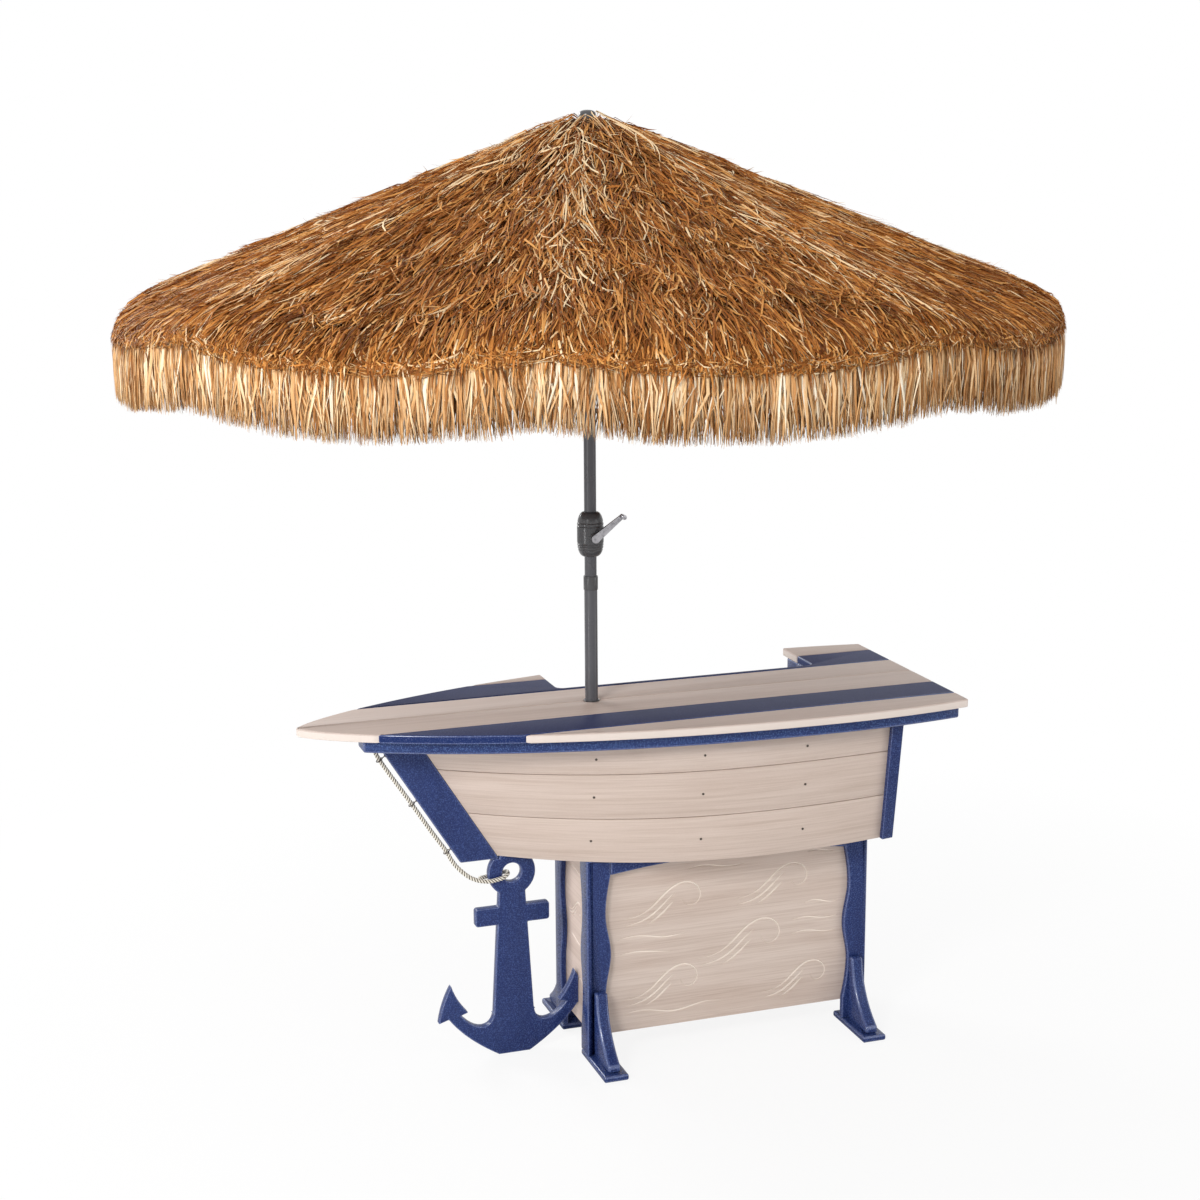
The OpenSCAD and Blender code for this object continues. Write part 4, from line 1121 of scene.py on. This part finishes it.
    def strewn(self, draw: Scatter, azimuth: float) -> Strips:
        """Long pale strands that lie along the ridge, and across one another near the cap."""
        near = draw.share() < 0.3
        r0 = np.where(near, draw.between(30 * MM, 300 * MM), draw.between(200 * MM, 1120 * MM))
        fanned = draw.between(-1, 1) * self.half * 0.8
        turn0 = np.where(near, fanned, draw.spread(30 * MM) / np.maximum(r0, 200 * MM))
        length = draw.between(*self.strewn_length)
        heading = np.where(near, draw.spread(0.8), draw.spread(0.2))
        return self.strands(draw, azimuth, r0, turn0, length, heading, draw.between(0.8, 1.1))

    def tangled(self, draw: Scatter, azimuth: float) -> Strips:
        """Patches where short loose strands lie every way over one another."""
        patches = Scatter(draw.rng, self.tangles)
        middle = patches.between(350 * MM, 1050 * MM).repeat(self.tangle_strands, 0)
        way = patches.between(-0.8, 0.8).repeat(self.tangle_strands, 0) * self.half
        r0 = middle + draw.spread(55 * MM)
        turn0 = way + draw.spread(75 * MM) / middle
        length = draw.between(*self.tangle_length)
        heading = draw.between(-1.7, 1.7)
        return self.strands(draw, azimuth, r0, turn0, length, heading, draw.between(0.45, 1.05))

    def strands(self, draw: Scatter, azimuth: float, r0: Array, turn0: Array,
                length: Array, heading: Array, tone: Array) -> Strips:
        """Loose strands on top of the mat, each arched and bent sideways a little.

        Args:
            draw: Source of the scatter.
            azimuth: Where the ridge lies.
            r0, turn0: Distance and turn of each strand's root.
            length, heading: Its length, and the way it runs as an angle from straight out.
            tone: How pale it is, 0 to 1.

        Returns:
            The strands.
        """
        t = np.linspace(0, 1, 6)[None]
        heading = heading + draw.spread(0.25) * t
        r = np.clip(r0 + length * t * np.cos(heading), self.inner, self.rim - 12 * MM)
        turn = self.within(turn0 + length * t * np.sin(heading) / np.maximum(r, 50 * MM), 0.995)
        z = (self.under(r, turn) + self.rise(r, azimuth + turn) + draw.between(*self.strand_lift)
             + 5 * MM * np.sin(t * math.pi) - self.sag(r))
        width = draw.between(*self.strand_half) * along(0.4, 1, 1, 1, 0.8, 0.2)
        roll = draw.spread(0.5) + draw.spread(0.5) * t
        return self.ribbons(azimuth, r, turn, z, heading, width, roll, tone, 0 * t)

    def hanging(self, draw: Scatter, azimuth: float) -> Strips:
        """The fringe: strips that start on the eave, bend over the rim and hang with a slight sway."""
        turn0 = draw.between(-self.half, self.half)
        layer = draw.share()
        t = along(0, 0.1, 0.4, 0.74, 1)
        length = self.hang * (1 - 0.14 * draw.share() ** 2 - 0.2 * (draw.share() < 0.18))
        length = length * (1 - 0.05 * np.abs(self.comb(1.0, azimuth + turn0)))
        lock = 0.03 * self.comb(1.3, azimuth + turn0)
        sway = (lock + draw.spread(0.035)) * t + draw.spread(0.014) * np.sin(t * 5)
        turn = self.within(turn0 + sway * length / self.rim * 3.0)
        bulge = 8 * MM * draw.share() * np.sin(np.minimum(t * 2, 1) * math.pi / 2)
        r = self.rim - 22 * MM * layer - 34 * MM * (1 - np.minimum(t * 9, 1)) + bulge
        r = r - 16 * MM * draw.share() * t
        top = (self.under(r[:, :1], turn0) + self.thick + self.step * 0.55 - self.droop * 0.8
               - 4 * MM * layer)
        z = top - length * t
        width = (1.3 * MM + 3.1 * MM * draw.share() ** 1.6) * along(0.8, 1, 0.95, 0.7, 0.15)
        roll = draw.spread(0.55) + draw.spread(0.55) * t
        lines = [(r + j * width * np.sin(roll) + crease * width,
                  turn + j * width * np.cos(roll) / self.rim, z) for j, crease in self.creases]
        # painted shade: the depth darkens the inner layers, the roots and most of all the tips, and the tone
        # drops at both ends too
        tone = draw.beta(1.9, 1.7) + along(-0.05, 0.02, 0.05, -0.02, -0.1)
        depth = np.clip(0.8 * layer ** 1.6 + along(0.1, 0, 0, 0.08, 0.2), 0, 1)
        return self.creased(azimuth, lines, tone, depth, finish=1)

    def sector(self, k: int) -> None:
        """Builds one sector as one piece that rides on its rib."""
        rng = np.random.default_rng(self.seed + k)
        azimuth = (k - 0.5) * 2 * self.half
        layers = ((self.laid, self.shag), (self.over_eave, self.eave_strips), (self.strewn, self.loose),
                  (self.tangled, self.tangles * self.tangle_strands), (self.hanging, self.fringe))
        parts = [self.backing(azimuth)] + [layer(Scatter(rng, count), azimuth) for layer, count in layers]
        starts = np.cumsum([0] + [len(part.points) for part in parts[:-1]])
        piece = new_piece(f"Thatch_{k}", np.concatenate([part.points for part in parts]),
                          np.concatenate([part.faces + start for part, start in zip(parts, starts)]))
        for name in ("tone", "depth"):
            set_attribute(piece, name, np.concatenate([getattr(part, name) for part in parts]))
        coat(piece, THATCH_STRAW, FRINGE_STRAW)
        finishes = np.concatenate([np.full(len(part.faces), part.finish) for part in parts])
        piece.data.polygons.foreach_set("material_index", finishes.astype(np.int32))
        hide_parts(f"thatch_{k}")
        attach(piece, f"rib_arm_{k}")
        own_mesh(piece)
        LOG.info("Thatch_%d: %d faces", k, len(piece.data.polygons))

    def build(self) -> None:
        """Builds the eight sectors."""
        for k in range(1, self.sides + 1):
            self.sector(k)


@dataclass
class Mast:
    """The tubes, the crank housing and the frame of the canopy."""

    crank_z: float = 1557 * MM
    low: float = 1499 * MM
    height: float = 130 * MM
    radius: float = 38.5 * MM
    neck: float = 20 * MM
    bore: float = 17.7 * MM
    boss: float = 15 * MM
    ends: tuple[float, float] = (42 * MM, 44 * MM)
    grooves: tuple = (22 * MM, 31 * MM, 38 * MM, 90 * MM, 100 * MM)
    groove_depth: float = 1.7 * MM
    groove_width: float = 1.5 * MM
    spindle: float = 10.2 * MM
    boss_reach: tuple[float, float] = (30 * MM, 42.5 * MM)
    boss_edge: float = 2 * MM
    edge: float = 0.6 * MM
    crank_edge: float = 1.5 * MM
    turned: tuple = (
        ("lower_tube", "mast", GREY_PAINT), ("upper_tube", "mast", GREY_PAINT),
        ("tube_joint", "mast", GREY_PLASTIC), ("top_hub", "mast", GREY_PLASTIC),
        ("top_cap", "mast", GREY_PLASTIC), ("runner", "runner", GREY_PLASTIC),
        ("mast_guides", "bar", GREY_PLASTIC), ("fixings", "bar", DARK_STEEL),
        ("crank_handle", "crank", CHROME))

    def housing(self) -> None:
        """The crank housing: a barrel with domed ends and shallow grooves, and a boss for the crank.

        The radius runs from the neck to the barrel as a quarter of an ellipse at each end. Each groove
        takes off a bell curve, depth exp(-(dz / width)^2).
        """
        low, high = self.low, self.low + self.height
        z = np.linspace(low, high, 150)
        end = np.clip(np.minimum((z - low) / self.ends[0], (high - z) / self.ends[1]), 0, 1)
        r = self.neck + (self.radius - self.neck) * np.sqrt(1 - (1 - end) ** 2)
        marks = low + np.array(self.grooves)
        r = r - self.groove_depth * np.exp(-((z[:, None] - marks[None]) / self.groove_width) ** 2).sum(1)
        outside = np.stack([r, z], -1)
        profile = np.concatenate([[[self.bore, low]], outside, [[self.bore, high]]])
        barrel = lathe("Housing_barrel", profile, 96)
        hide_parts("crank_housing")
        dress(barrel, "mast", GREY_PLASTIC)
        near, far = self.boss_reach
        wall = [(self.spindle, near), (self.boss, near), (self.boss, far), (self.spindle, far)]
        ring = eased(wall, self.boss_edge)
        lay = Matrix.Translation((0, 0, self.crank_z)) @ Matrix.Rotation(math.radians(90), 4, "X")
        dress(lathe("Housing_boss", ring, 48, lay), "mast", GREY_PLASTIC)

    def build(self) -> None:
        """Builds the housing, smooths the turned parts and dresses the ribs and stretchers."""
        self.housing()
        for node, body, finish in self.turned:
            radius = self.crank_edge if node == "crank_handle" else self.edge
            dress(eased_copy(node, "Mast_" + node, radius, clamp=True), body, finish)
        for k in range(1, Canopy.sides + 1):
            for node in (f"rib_{k}", f"stretcher_{k}"):
                coat(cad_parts[node], GREY_PAINT)


def main() -> None:
    """Builds the studio and every piece."""
    logging.basicConfig(level=logging.INFO, format="%(name)s: %(message)s")
    Studio().build()
    Rope().build()
    Bar().build()
    Carving().build()
    Mast().build()
    Canopy().build()


if __name__ == "__main__":
    main()
